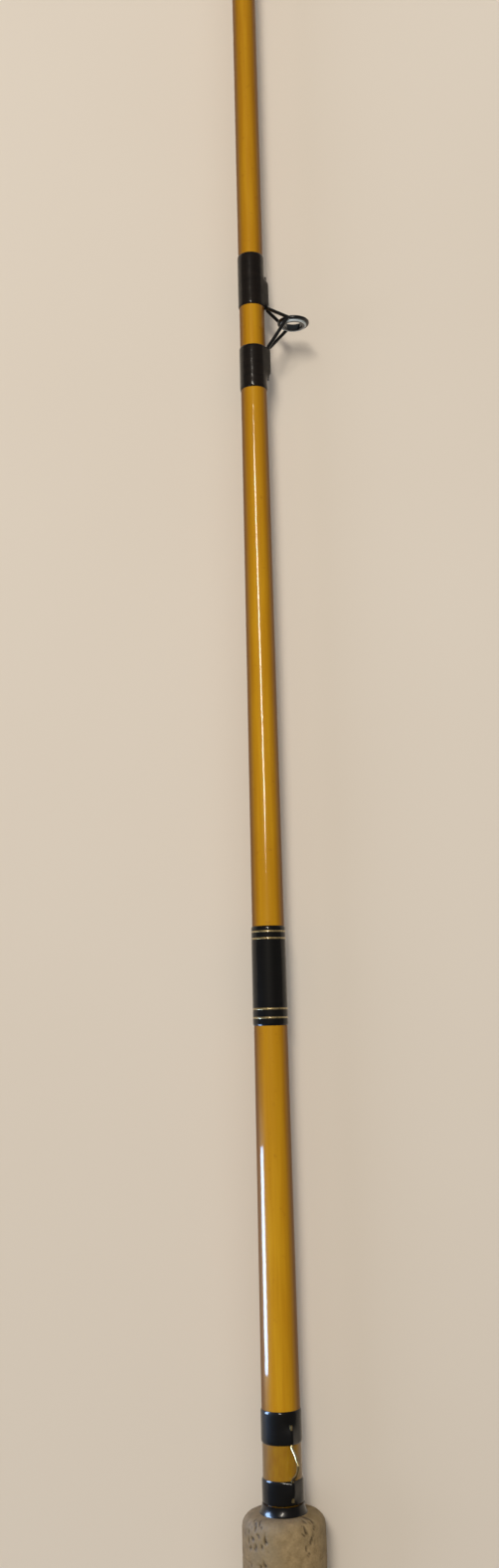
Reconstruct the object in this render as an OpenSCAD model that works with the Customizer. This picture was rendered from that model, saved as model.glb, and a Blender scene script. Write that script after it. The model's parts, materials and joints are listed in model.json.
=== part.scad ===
// Two-piece glass-fibre fly rod with a single-action fly reel in its reel seat.
// It lies flat on the reel's back plate. The origin is the centre of that back face.
// +Z runs up the reel's spindle, +Y runs along the rod to its tip, and the reel, the guides
// and the tip ring are all on the rod's +X side. Lengths are in millimetres.

/* [Rod] */
// Full length, end of the butt cap to the end of the tip ring
rod_length = 2590; // [2300:10:3110]
// Length of blank from the front of the grip to the ferrule
ferrule_at = 1030; // [900:5:1150]
// Blank diameter at the butt end, hidden in the handle
blank_d_butt = 14.0; // [13.4:0.1:17]
// Blank diameter where it leaves the grip
blank_d_grip = 13.15; // [11:0.05:14]
// Blank diameter at the decorative wrap
blank_d_trim = 11.25; // [10:0.05:12]
// Blank diameter at the stripping guide
blank_d_guide = 9.45; // [8.6:0.05:10.2]
// Blank diameter at the ferrule
blank_d_ferrule = 7.4; // [6.6:0.1:8.4]
// Blank diameter at the tip
blank_d_tip = 2.2; // [1.8:0.1:2.8]
// Wall of the blank at the butt
wall_butt = 1.5; // [1.2:0.1:1.8]
// Wall of the blank at the ferrule
wall_ferrule = 0.85; // [0.7:0.05:1]
// Wall of the blank at the tip
wall_tip = 0.6; // [0.4:0.05:0.7]

/* [Ferrule] */
// Length of spigot that the tip section slides over
spigot_length = 60; // [40:1:80]
// Spigot left showing between the two sections
spigot_show = 3; // [1:0.5:6]
// How much thinner the spigot's radius is at its end
spigot_taper = 0.15; // [0.05:0.01:0.3]

/* [Grip] */
// Length of one cork ring
ring_length = 12.7; // [10:0.1:15]
// Number of cork rings in the grip
ring_count = 14; // [12:1:18]
// Diameter of the grip's front and its flare
grip_d_front = 27.4; // [24:0.1:30]
// Diameter of the waist behind the flare
grip_d_waist = 21.6; // [19:0.1:25]
// Diameter of the palm swell
grip_d_palm = 29.4; // [25:0.1:31]
// Diameter of the grip's rear waist
grip_d_rear_waist = 23.4; // [22:0.1:26]
// Diameter of the grip's rear end
grip_d_rear = 26.4; // [24:0.1:29]
// Radius of the rounded edge at both ends of the cork
grip_edge = 4; // [1:0.1:5]
// Length of the winding check in front of the grip
check_length = 3; // [1.5:0.1:5]
// Thickness of the winding check where it meets the cork
check_wall = 1.3; // [0.8:0.05:2]
// Thickness of the winding check at its front edge
check_lip = 0.4; // [0.3:0.05:0.7]

/* [Reel seat] */
// Wall of the seat barrel
seat_wall = 1.05; // [0.8:0.05:1.5]
// Thickness of the arbors between blank and barrel
arbor_wall = 1.4; // [1:0.05:2.5]
// Thread pitch of the seat barrel
seat_pitch = 2; // [1.5:0.25:3]
// Depth of the thread
seat_thread_depth = 0.45; // [0.3:0.05:0.6]
// Travel of the sliding hood
hood_travel = 10; // [8:0.5:14]
// Length of each hood
hood_length = 20; // [16:0.5:26]
// How much of the reel foot each hood covers
hood_cover = 9; // [7:0.5:12]
// Wall of the hoods
hood_wall = 0.9; // [0.7:0.05:1.4]
// Length of the lock nut
nut_length = 9; // [7:0.5:12]
// Radial thickness of the lock nut
nut_wall = 2.6; // [1.8:0.1:4]
// Length of the cork fighting butt
butt_cork_length = 35; // [25:1:50]
// Diameter of the fighting butt
butt_cork_d = 26; // [23:0.5:30]
// Length of the rubber butt cap
butt_cap_length = 10; // [8:0.5:20]

/* [Guides and wraps] */
// Thickness of a thread wrap with its coating
wrap_wall = 0.35; // [0.25:0.05:0.6]
// Length of the keeper's loop between its wraps
keeper_loop = 10.7; // [8:0.1:13]
// Height of the keeper's loop over the blank
keeper_height = 5.8; // [4:0.1:7]
// Diameter of the keeper's wire
keeper_wire_d = 1.0; // [0.8:0.05:1.3]
// Length of each of the keeper's feet
keeper_foot = 6.4; // [5:0.1:9]
// How far the wraps behind and in front of the keeper run past its feet
keeper_past = [1.25, 3.9]; // [1:0.05:6]
// Angle of the keeper round the blank, from the guides towards the top
keeper_angle = 65; // [40:1:90]
// Distance from the grip to the rear edge of the decorative wrap
trim_at = 155.3; // [120:0.1:200]
// Length of the decorative wrap
trim_length = 34; // [25:0.1:50]
// Width of one gold band
band_width = 0.6; // [0.4:0.05:1]
// Distances of the two rear gold bands from the wrap's rear edge
bands_rear = [2.4, 5.4]; // [1:0.1:8]
// Distances of the two front gold bands from the wrap's front edge
bands_front = [1.6, 4]; // [1:0.1:8]
// Length of the wraps that bind the two sides of the ferrule
ferrule_wrap = 26; // [18:1:40]
// Distance from the grip to the stripping guide's ring
strip_at = 415.3; // [380:0.1:460]
// Height of the stripping guide's ring over the rod's axis
strip_height = 15.5; // [14:0.1:18]
// Outer diameter of the stripping guide's ring
strip_ring_d = 12; // [11:0.1:14]
// Wall of the pale shock ring between the wire and the ceramic ring
shock_wall = 0.45; // [0.35:0.05:0.6]
// Wall of the ceramic ring
ceramic_wall = 0.9; // [0.7:0.05:1.1]
// Length of the ceramic ring along the rod
ceramic_length = 2.6; // [2:0.1:3]
// Wire of the stripping guide's frame
strip_wire_d = 1.3; // [1:0.05:1.6]
// Gap from the ring to the wrap behind it and to the wrap in front of it
strip_gaps = [9.9, 6.2]; // [5:0.1:14]
// Lengths of the wrap behind the ring and of the wrap in front of it
strip_wraps = [17, 21.1]; // [14:0.1:24]
// Number of snake guides between the tip and the stripping guide
snake_count = 9; // [9]
// How much wider the guides stand apart towards the grip: 1 is even spacing
snake_spread = 1.24; // [1:0.02:1.5]
// Loop radius of the largest snake guide, nearest the grip
snake_loop_r = 2.7; // [2.2:0.1:3]
// Loop radius of the smallest snake guide, nearest the tip
snake_loop_r_tip = 2.1; // [1.8:0.1:2.4]
// Diameter of the snake guides' wire
snake_wire_d = 1.0; // [0.8:0.05:1.2]
// Length of a snake guide's loop along the rod
snake_loop_length = 11; // [9:0.5:14]
// Length of a snake guide's foot
snake_foot = 8; // [6:0.5:10]
// Loop radius of the tip ring
tip_ring_r = 2.6; // [2.2:0.1:2.8]
// Length of the tube that holds the tip ring
tip_tube_length = 11; // [8:0.5:14]

/* [Reel] */
// Outer diameter of the reel frame
frame_d = 100; // [90:1:124]
// Outside width of the reel frame
frame_w = 32; // [30:0.5:40]
// Thickness of the back plate
back_t = 3; // [2.8:0.1:4]
// Thickness of the front ring
front_t = 4; // [3:0.1:5]
// Width of the front ring
ring_w = 5.7; // [5:0.1:8]
// Diameter of the frame's pillars
pillar_d = 4.8; // [4:0.1:5.4]
// Room between the back plate and the spool for the click gear
gear_room = 6.6; // [6:0.1:9]
// Diameter of the spool's hub
hub_d = 32; // [28:0.5:44]
// Thickness of the spool's back flange
flange_t = 1.5; // [1.2:0.1:2.5]
// Thickness of the spool's front plate
plate_t = 2.5; // [2.2:0.1:3.5]
// Diameter of the spindle
spindle_d = 6; // [5:0.1:7.2]
// Wall of the spool's bronze bush
bush_wall = 2; // [1.5:0.1:3]
// Length of the reel foot
foot_length = 64; // [56:1:72]
// Thickness of the reel foot at its middle
foot_t = 2.4; // [2:0.1:3]
// Thickness of the reel foot at its ends
foot_end_t = 0.9; // [0.7:0.1:1.2]
// Gap between the frame and the foot plate
stalk_gap = 5; // [4:0.5:8]

/* [Handle] */
// Length of the handle knob
knob_length = 18; // [14:0.5:24]
// Largest diameter of the handle knob
knob_d = 12.4; // [10:0.2:15]
// Distance of the handle from the spool's rim
knob_inset = 8.3; // [7.5:0.1:12]
// Diameter of the handle's post
post_d = 4; // [3.5:0.1:5]

/* [Click and drag] */
// Number of teeth on the click gear
gear_teeth = 24; // [24, 36]
// Outer diameter of the click gear
gear_d = 28; // [25:0.5:33.6]
// Depth of the gear's teeth
tooth_depth = 2; // [1.8:0.1:2.2]
// Distance from the gear's edge to the pawls' pins
pawl_reach = 6.5; // [6.5:0.1:8]
// Diameter of the drag knob
drag_knob_d = 15.8; // [12:0.2:18]
// Throw of the drag cam
cam_throw = 0.7; // [0.4:0.05:1]

/* [Clearances] */
// Gap of a running fit, on the radius
run_gap = 0.04; // [0.02:0.01:0.08]
// Gap of a glued or bound joint, on the radius
glue_gap = 0.03; // [0.02:0.01:0.08]
// Gap between the moving hood or nut and the barrel, on the radius
seat_gap = 0.08; // [0.05:0.01:0.12]
// Gap between the spool's rims and the frame
rim_gap = 0.5; // [0.4:0.05:1]
// Free space beside parts that only pass each other
free_gap = 0.3; // [0.25:0.05:0.5]

/* [Hidden] */
$fn = 64;
small = 32;
eps = 0.01;
SNAKES = [for (i = [1 : snake_count]) str("snake_guide_", i)];

// ---- places along the rod (y) ----
foot_half = foot_length / 2;
hood_near = foot_half - hood_cover;
hood_far = hood_near + hood_length;
nut_front = -hood_far - free_gap;
nut_rear = nut_front - nut_length;
barrel_rear = nut_rear - hood_travel - 4;
barrel_front = hood_far + 3;
grip_rear = barrel_front;
grip_length = ring_length * ring_count;
grip_front = grip_rear + grip_length;
cork_rear = barrel_rear - butt_cork_length;
rod_rear = cork_rear - butt_cap_length;
rod_tip = rod_rear + rod_length;
blank_rear = cork_rear + 3;
ferrule_y = grip_front + ferrule_at;
tip_rear = ferrule_y + spigot_show;
blank_front = rod_tip - 4;
strip_y = grip_front + strip_at;

// ---- radii of the rod ----
// Outer radius of the butt section at y
function butt_r(y) = lookup(y, [
    [blank_rear, blank_d_butt / 2], [grip_front, blank_d_grip / 2],
    [grip_front + trim_at + trim_length, blank_d_trim / 2], [strip_y, blank_d_guide / 2],
    [ferrule_y, blank_d_ferrule / 2]]);
spigot_r = blank_d_ferrule / 2 - wall_ferrule - glue_gap;
tip_base_r = spigot_r + run_gap + wall_ferrule;
// Outer radius of the tip section at y
function tip_r(y) = lookup(y, [[tip_rear, tip_base_r], [blank_front, blank_d_tip / 2]]);
// Outer radius of whichever section lies at y
function rod_r(y) = y < tip_rear ? butt_r(y) : tip_r(y);

seat_in_r = butt_r(barrel_rear) + glue_gap + arbor_wall;
seat_r = seat_in_r + seat_wall;

// ---- the reel, and the rod's axis over it ----
frame_r = frame_d / 2;
pillar_r = pillar_d / 2;
pillar_at = frame_r - 3;
spool_r = pillar_at - pillar_r - rim_gap - 0.3;
rod_x = -(frame_r + stalk_gap + foot_t + seat_r);
rod_z = frame_w / 2;
front_z = frame_w - front_t;
flange_z = back_t + gear_room;
plate_z = front_z + 0.3;
plate_top = plate_z + plate_t;
bush_r = spindle_d / 2 + run_gap + bush_wall;
PILLARS = [45, 135, 225, 315];
guard_angle = 45;

// ---- click and drag ----
gear_r = gear_d / 2;
gear_z = back_t + 1;
gear_h = flange_z - 1.6 - gear_z;
pawl_x = gear_r + pawl_reach;
pawl_h = gear_h - 0.4;
pawl_back = 3.4;
leaf_t = 0.5;
leaf_x = pawl_x + pawl_back + 0.2;
cam_r = 3.2;
cam_x = leaf_x + leaf_t + free_gap + cam_r + cam_throw;
cam_y = -13;
drag_shaft_r = 2;
drag_boss_r = cam_x - leaf_x - leaf_t - 0.4;
drag_boss_h = 2.5;

// ---- spool latch ----
latch_recess_r = 10.5;
latch_recess_z = plate_top - 2;
latch_t = 0.9;
latch_travel = 2.5;
latch_w = spindle_d + 2;
latch_z = latch_recess_z + 0.2;
cover_r = 14;
cover_t = 1.2;
groove_depth = 0.8;

// ---- handle ----
handle_x = spool_r - knob_inset;
shoulder_z = plate_top + 1.4;
knob_z = shoulder_z + free_gap;
post_top = knob_z + knob_length + free_gap;

// ---- screws ----
screw_r = 1.2;
screw_head_r = 2.2;
screw_length = 7;
screw_sink = 0.2;
screw_hole_r = screw_r + glue_gap;

// ================= helpers =================

// Puts children, drawn along +Z and round the Z axis, on the rod's axis along +Y.
// Their +X side stays the side of the guides, and their -Y side becomes the top.
module on_rod() { translate([rod_x, 0, rod_z]) rotate([-90, 0, 0]) children(); }

// A body of revolution on the rod's axis, from [radius, y] points
module turned(points, fn = $fn) { on_rod() rotate_extrude($fn = fn) polygon(points); }

// The same, but only a sector of half angle half, centred on the side of the guides
module turned_sector(points, half) {
    on_rod() rotate([0, 0, -half]) rotate_extrude(angle = 2 * half) polygon(points);
}

// Outline of a thread wrap from y0 to y1, with edges that thin out
function wrap_line(y0, y1, wall) = let (edge = min(0.7, (y1 - y0) / 4))
    [[rod_r(y0) + glue_gap + 0.12, y0], [rod_r(y0 + edge) + wall, y0 + edge],
        [rod_r(y1 - edge) + wall, y1 - edge], [rod_r(y1) + glue_gap + 0.12, y1]];

// A thread wrap round the rod
module wrap(y0, y1, wall = wrap_wall) {
    turned(concat([[rod_r(y0) + glue_gap, y0]], wrap_line(y0, y1, wall),
        [[rod_r(y1) + glue_gap, y1]]));
}

// The same outline filled to the rod's axis, for wraps that are cut to the rod afterwards
module filled_wrap(y0, y1, wall = wrap_wall) {
    turned(concat([[0, y0]], wrap_line(y0, y1, wall), [[0, y1]]));
}

// Solid space that the rod itself fills from y0 to y1, used as a cutter
module rod_space(y0, y1) {
    turned([[0, y0], [rod_r(y0) + glue_gap, y0], [rod_r(y1) + glue_gap, y1], [0, y1]]);
}

// A round bar along the rod on the guide side, with its centre height over the surface
module foot_bar(y0, y1, r, height) {
    mid = rod_r((y0 + y1) / 2);
    translate([rod_x + mid + height, y0, rod_z]) rotate([-90, 0, 0])
        cylinder(r = r, h = y1 - y0, $fn = small);
}

// A thread wrap that also covers a guide's foot of radius r
module wrap_over_foot(y0, y1, foot0, foot1, r, height) {
    difference() {
        union() {
            filled_wrap(y0, y1);
            foot_bar(max(y0, foot0 - 0.6), min(y1, foot1 + 0.6), r + wrap_wall, height);
        }
        rod_space(y0 - 1, y1 + 1);
        foot_bar(foot0 - 0.1, foot1 + 0.1, r + glue_gap, height);
    }
}

function unit(v) = v / norm(v);
// Direction of a path at point i
function heading(p, i) = unit(p[min(i + 1, len(p) - 1)] - p[max(i - 1, 0)]);
function without(v, t) = unit(v - (v * t) * t);
// One sideways direction for every point of a path, carried along without twisting
function sideways(p, start) = [
    for (i = 0, s = without(start, heading(p, 0)); i < len(p);
        i = i + 1, s = i < len(p) ? without(s, heading(p, i)) : s) s];
// A smooth curve through points, with n steps between neighbours
function curve(p, n) = [
    for (i = [0 : len(p) - 2]) for (k = [0 : i == len(p) - 2 ? n : n - 1])
        let (t = k / n, a = p[max(i - 1, 0)], b = p[i], c = p[i + 1], d = p[min(i + 2, len(p) - 1)])
            0.5 * (2 * b + (c - a) * t + (2 * a - 5 * b + 4 * c - d) * t * t
                + (3 * b - a - 3 * c + d) * t * t * t)];

// A wire of radius r along a path, with its ends closed
module wire(path, r, start = [0, 0, 1], sides = 8) {
    side = sideways(path, start);
    points = [for (i = [0 : len(path) - 1]) let (t = heading(path, i), up = cross(t, side[i]))
        for (k = [0 : sides - 1]) let (a = 360 * k / sides)
            path[i] + r * (cos(a) * side[i] + sin(a) * up)];
    walls = [for (i = [0 : len(path) - 2]) for (k = [0 : sides - 1])
        let (a = i * sides + k, b = i * sides + (k + 1) % sides) [a, a + sides, b + sides, b]];
    caps = [[for (k = [0 : sides - 1]) k],
        [for (k = [sides - 1 : -1 : 0]) (len(path) - 1) * sides + k]];
    polyhedron(points, concat(walls, caps));
}

// ================= blank and ferrule =================

module butt_blank() {
    inner_rear = butt_r(blank_rear) - wall_butt;
    inner_grip = butt_r(grip_front) - wall_butt;
    inner_strip = butt_r(strip_y) - (wall_butt + wall_ferrule) / 2;
    color("#b8860f") turned([
        [inner_rear, blank_rear], [butt_r(blank_rear), blank_rear],
        [butt_r(grip_front), grip_front],
        [blank_d_trim / 2, grip_front + trim_at + trim_length],
        [butt_r(strip_y), strip_y], [butt_r(ferrule_y), ferrule_y],
        [spigot_r + glue_gap, ferrule_y], [inner_strip, strip_y], [inner_grip, grip_front]]);
}

module ferrule_spigot() {
    inside = 45;
    top = ferrule_y + spigot_show + spigot_length;
    bore_r = spigot_r / 2;
    color("#c9b98a") turned([[bore_r, ferrule_y - inside], [spigot_r, ferrule_y - inside],
        [spigot_r, ferrule_y], [spigot_r - spigot_taper, top - 0.5],
        [spigot_r - spigot_taper - 0.5, top], [bore_r, top]]);
}

module tip_blank() {
    socket = tip_rear + spigot_length + 2;
    end_r = spigot_r + run_gap - spigot_taper * spigot_length / (spigot_length + spigot_show);
    color("#b8860f") turned([
        [spigot_r + run_gap, tip_rear], [tip_base_r, tip_rear],
        [blank_d_tip / 2, blank_front], [blank_d_tip / 2 - wall_tip, blank_front],
        [min(end_r, tip_r(socket + 20) - wall_ferrule), socket + 20], [end_r, socket]]);
}

// ================= handle =================

function ease(a, b, f) = a + (b - a) * (1 - cos(180 * f)) / 2;
GRIP_STATIONS = [[0, grip_d_front], [14, grip_d_front], [46, grip_d_waist], [98, grip_d_palm],
    [grip_length - 26, grip_d_rear_waist], [grip_length, grip_d_rear]];
// Radius of the grip's outline at t behind its front, before its edges are rounded
function grip_line(t, i = 0) =
    i >= len(GRIP_STATIONS) - 2 || t <= GRIP_STATIONS[i + 1][0]
        ? ease(GRIP_STATIONS[i][1], GRIP_STATIONS[i + 1][1],
            (t - GRIP_STATIONS[i][0]) / (GRIP_STATIONS[i + 1][0] - GRIP_STATIONS[i][0])) / 2
        : grip_line(t, i + 1);
// How far a rounded edge of radius e takes the outline in, at t from the edge
function edge_drop(t, e) = t >= e ? 0 : e - sqrt(e * e - (e - t) * (e - t));
function grip_r(t) = grip_line(t) - edge_drop(t, grip_edge) - edge_drop(grip_length - t, grip_edge);

// Cork rings: n of them from the front at y, each of the given length, with outline r(t)
module grip_cork_rings() {
    seam = 0.03;
    steps = 6;
    color("#a28c66") for (i = [0 : ring_count - 1]) {
        t0 = i * ring_length + (i == 0 ? 0 : seam);
        t1 = (i + 1) * ring_length - (i == ring_count - 1 ? 0 : seam);
        outline = [for (k = [0 : steps]) let (t = t0 + (t1 - t0) * k / steps)
            [grip_r(t), grip_front - t]];
        // The end rings have extra points on their rounded edge
        rounded = [for (a = [10 : 20 : 70]) let (t = grip_edge * (1 - cos(a))) t];
        front = i == 0 ? concat([[grip_r(0), grip_front]],
            [for (t = rounded) [grip_r(t), grip_front - t]],
            [for (p = outline) if (p[1] < grip_front - grip_edge) p]) : outline;
        all = i == ring_count - 1 ? concat([for (p = front) if (p[1] > grip_rear + grip_edge) p],
            [for (k = [len(rounded) - 1 : -1 : 0])
                [grip_r(grip_length - rounded[k]), grip_rear + rounded[k]]],
            [[grip_r(grip_length), grip_rear]]) : front;
        turned(concat([[butt_r(grip_front - t0) + glue_gap, grip_front - t0]], all,
            [[butt_r(grip_front - t1) + glue_gap, grip_front - t1]]));
    }
}

// A ring that flares out like a trumpet towards the cork
module winding_check() {
    bore = butt_r(grip_front) + glue_gap;
    flare = [for (f = [0.15 : 0.17 : 1])
        [bore + check_lip + (check_wall - check_lip) * pow(1 - f, 2), grip_front + f * check_length]];
    color("#15130f") turned(concat([[bore, grip_front], [bore + check_wall, grip_front]], flare,
        [[bore, grip_front + check_length]]));
}

module seat_barrel() {
    thread_from = -hood_near - 4;
    turns = floor((thread_from - barrel_rear - 2) / seat_pitch);
    thread = [for (i = [0 : turns - 1]) let (y = thread_from - i * seat_pitch)
        each [[seat_r, y], [seat_r - seat_thread_depth, y - seat_pitch / 4],
            [seat_r - seat_thread_depth, y - seat_pitch / 2], [seat_r, y - 3 * seat_pitch / 4]]];
    color("#1b1a1a") turned(concat([[seat_in_r, barrel_front], [seat_r, barrel_front]], thread,
        [[seat_r, barrel_rear], [seat_in_r, barrel_rear]]));
}

module seat_arbors() {
    width = 14;
    count = 4;
    pitch = (barrel_front - barrel_rear - width - 4) / (count - 1);
    color("#8d6f47") for (i = [0 : count - 1]) {
        y0 = barrel_rear + 2 + i * pitch;
        turned([[butt_r(y0) + glue_gap, y0], [seat_in_r - glue_gap, y0],
            [seat_in_r - glue_gap, y0 + width], [butt_r(y0 + width) + glue_gap, y0 + width]]);
    }
}

foot_half_angle = 40;
pocket_r = seat_r + foot_end_t + (foot_t - foot_end_t) * hood_cover / (foot_half - 14) + 0.4;
hood_top_r = pocket_r + hood_wall;

// A hood that covers the foot from y = near outwards to far, with the pocket open at near
module hood(near, far, gap) {
    dir = sign(far - near);
    bore = seat_r + gap;
    ring_r = bore + hood_wall;
    difference() {
        union() {
            turned([[bore, near], [ring_r, near], [ring_r, far - dir * 0.6],
                [ring_r - 0.5, far], [bore, far]]);
            turned_sector([[bore, near], [hood_top_r - 0.4, near], [hood_top_r, near + dir * 0.6],
                [hood_top_r, near + dir * (hood_cover + 2)], [ring_r, far - dir * 3],
                [bore, far - dir * 3]], foot_half_angle + 10);
        }
        turned_sector([[bore - 0.5, near - dir], [pocket_r, near - dir],
            [pocket_r, near + dir * (hood_cover + 0.6)],
            [bore - 0.5, near + dir * (hood_cover + 0.6)]], foot_half_angle + 2);
    }
}

module fixed_hood() { color("#262422") hood(hood_near, hood_far, glue_gap); }

module sliding_hood() { color("#262422") hood(-hood_near, -hood_far, seat_gap); }

module lock_nut() {
    outer = seat_r + seat_gap + nut_wall;
    flutes = 18;
    color("#262422") difference() {
        turned([[seat_r + seat_gap, nut_rear], [outer - 0.8, nut_rear], [outer, nut_rear + 0.8],
            [outer, nut_front - 0.8], [outer - 0.8, nut_front], [seat_r + seat_gap, nut_front]]);
        on_rod() for (i = [0 : flutes - 1]) rotate([0, 0, (i + 0.5) * 360 / flutes])
            translate([outer + 0.4, 0, nut_rear + 1.6])
                cylinder(r = 1, h = nut_length - 3.2, $fn = 16);
    }
}

module butt_cork_rings() {
    count = 3;
    seam = 0.03;
    length = butt_cork_length / count;
    blind = blank_rear - 0.2;
    r = butt_cork_d / 2;
    color("#a28c66") for (i = [0 : count - 1]) {
        y1 = barrel_rear - i * length - (i == 0 ? 0 : seam);
        y0 = barrel_rear - (i + 1) * length + (i == count - 1 ? 0 : seam);
        bore1 = butt_r(y1) + glue_gap;
        front_r = i == 0 ? r - 1.4 : r;
        if (i == count - 1)
            turned([[0, y0], [r, y0], [r, y1], [bore1, y1], [butt_r(blind) + glue_gap, blind],
                [0, blind]]);
        else
            turned([[butt_r(y0) + glue_gap, y0], [r, y0], [r, y1 - 2], [front_r, y1], [bore1, y1]]);
    }
}

module butt_cap() {
    r = butt_cork_d / 2 + 0.2;
    round = 1.6;
    color("#141414") turned(concat([[0, cork_rear], [r, cork_rear], [r, rod_rear + round]],
        [for (a = [15 : 15 : 75]) [r - round * (1 - cos(a)), rod_rear + round * (1 - sin(a))]],
        [[r - round, rod_rear], [r - 5, rod_rear], [r - 6, rod_rear + 0.6], [0, rod_rear + 0.6]]));
}

// ================= guides and wraps =================

keeper_wrap_from = grip_front + check_length + 0.05;
keeper_rear = keeper_wrap_from + keeper_past[0] + keeper_foot;
keeper_y = keeper_rear + keeper_loop / 2;
keeper_front = keeper_rear + keeper_loop;
keeper_wrap_to = keeper_front + keeper_foot + keeper_past[1];
keeper_tunnel_r = keeper_wire_d / 2 + 0.2;

// Places children, drawn round the guide side, at the keeper's angle round the rod
module at_keeper() {
    translate([rod_x, 0, rod_z]) rotate([0, -keeper_angle, 0]) translate([-rod_x, 0, -rod_z])
        children();
}

module hook_keeper() {
    r = keeper_wire_d / 2;
    low = rod_r(keeper_rear) + r + glue_gap + 0.05;
    rise = rod_r(keeper_y) + keeper_height - r - low;
    steps = 12;
    // The loop starts just clear of the wraps' edges and rises steeply to a round top
    bend = 0.4;
    half = keeper_loop / 2 - bend - 0.1;
    loop = [for (k = [1 : steps - 1]) let (t = 2 * k / steps - 1)
        [low + rise * (1 - pow(abs(t), 1.8)), keeper_y + t * half, 0]];
    rear_foot = [for (y = [keeper_rear - keeper_foot, keeper_y - half - 1.5, keeper_y - half - bend])
        [low, y, 0]];
    front_foot = [for (y = [keeper_y + half + bend, keeper_y + half + 1.5, keeper_front + keeper_foot])
        [low, y, 0]];
    path = curve(concat(rear_foot, loop, front_foot), 2);
    color("#b9975b") at_keeper() translate([rod_x, 0, rod_z]) wire(path, r);
}

module keeper_wraps() {
    r = keeper_wire_d / 2;
    ends = [keeper_rear - keeper_foot, keeper_front + keeper_foot];
    cover = wrap_wall * 0.7;
    color("#17140f") difference() {
        union() {
            filled_wrap(keeper_wrap_from, keeper_rear);
            filled_wrap(keeper_front, keeper_wrap_to);
            at_keeper() foot_bar(ends[0] - 0.6, keeper_rear, keeper_tunnel_r + cover, r);
            at_keeper() foot_bar(keeper_front, ends[1] + 0.6, keeper_tunnel_r + cover, r);
        }
        rod_space(grip_front, keeper_wrap_to + 1);
        at_keeper() foot_bar(ends[0] - 0.2, keeper_rear + 1, keeper_tunnel_r, r + 0.05);
        at_keeper() foot_bar(keeper_front - 1, ends[1] + 0.2, keeper_tunnel_r, r + 0.05);
    }
}

trim_rear = grip_front + trim_at;
trim_front = trim_rear + trim_length;
band_depth = 0.15;
BANDS = concat([for (d = bands_rear) trim_rear + d],
    [for (d = bands_front) trim_front - d - band_width]);

module trim_wrap() {
    color("#17140f") difference() {
        wrap(trim_rear, trim_front);
        for (y = BANDS) turned([[rod_r(y) + wrap_wall - band_depth, y], [rod_r(y) + 2, y],
            [rod_r(y) + 2, y + band_width], [rod_r(y) + wrap_wall - band_depth, y + band_width]]);
    }
}

module trim_bands() {
    color("#b08a3a") for (y = BANDS) turned([[rod_r(y) + wrap_wall - band_depth + eps, y + eps],
        [rod_r(y) + wrap_wall + 0.02, y + eps],
        [rod_r(y) + wrap_wall + 0.02, y + band_width - eps],
        [rod_r(y) + wrap_wall - band_depth + eps, y + band_width - eps]]);
}

strip_r = strip_wire_d / 2;
strip_mid_r = strip_ring_d / 2 - strip_r;
strip_foot_r = 1.1;
strip_foot_height = 0.35;
strip_edges = [strip_y - strip_gaps[0], strip_y + strip_gaps[1]];
strip_foot_length = 13;
leg_angle = 112;

module stripping_guide_frame() {
    r0 = rod_r(strip_y);
    low = r0 + strip_foot_height + 0.4;
    // The legs are brazed to the outside of the wire ring
    end_r = strip_mid_r + 0.45;
    end = [strip_height + end_r * cos(leg_angle), 0, end_r * sin(leg_angle)];
    color("#141414") {
        translate([rod_x + strip_height, strip_y, rod_z]) rotate([90, 0, 0])
            rotate_extrude() translate([strip_mid_r, 0]) circle(r = strip_r, $fn = small);
        // Two legs on each side of the ring, one from each foot: each bends and then runs straight
        for (w = [-1, 1], gap = [-strip_gaps[0], strip_gaps[1]]) {
            bent = [low + 1, gap - sign(gap) * 0.9, 1.4 * w];
            top = [end[0], 0, end[2] * w];
            translate([rod_x, strip_y, rod_z]) wire(curve([[low, gap + sign(gap) * 2, 0.3 * w],
                [low + 0.1, gap, 0.8 * w], bent, (bent + top) / 2, top], 4), strip_r);
        }
        difference() {
            union() {
                foot_bar(strip_edges[0] - strip_foot_length, strip_edges[0] + 0.4,
                    strip_foot_r, strip_foot_height);
                foot_bar(strip_edges[1] - 0.4, strip_edges[1] + strip_foot_length,
                    strip_foot_r, strip_foot_height);
            }
            rod_space(strip_edges[0] - strip_wraps[0], strip_edges[1] + strip_wraps[1]);
        }
    }
}

shock_r = strip_ring_d / 2 - strip_wire_d - 0.02;
ceramic_r = shock_r - shock_wall - 0.02;
ring_fit = 0.02;

// Places a body of revolution in the stripping guide's ring: its Z axis points to the grip
module in_strip_ring() {
    translate([rod_x + strip_height, strip_y, rod_z]) rotate([90, 0, 0]) rotate_extrude() children();
}

// A moulded bush that lines the wire ring, with a flange on the grip's side
module stripping_guide_shock_ring() {
    bore = ceramic_r + ring_fit;
    flange = strip_mid_r - 0.4;
    face = strip_r + ring_fit;
    color("#d5dde0") in_strip_ring() polygon([[bore, -0.9], [shock_r - 0.2, -0.9],
        [shock_r, -0.6], [shock_r, face], [flange, face], [flange, face + 0.35],
        [flange - 0.3, face + 0.6], [bore, face + 0.6]]);
}

// The polished ring that the line runs through
module stripping_guide_ring() {
    half = ceramic_length / 2;
    bore = ceramic_r - ceramic_wall;
    round = ceramic_wall / 2;
    ends = [for (a = [0 : 30 : 180])
        [bore + round - round * cos(a), half - round + round * sin(a)]];
    color("#23272b") in_strip_ring() polygon(concat(ends,
        [for (i = [len(ends) - 1 : -1 : 0]) [ends[i][0], -ends[i][1]]]));
}

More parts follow.
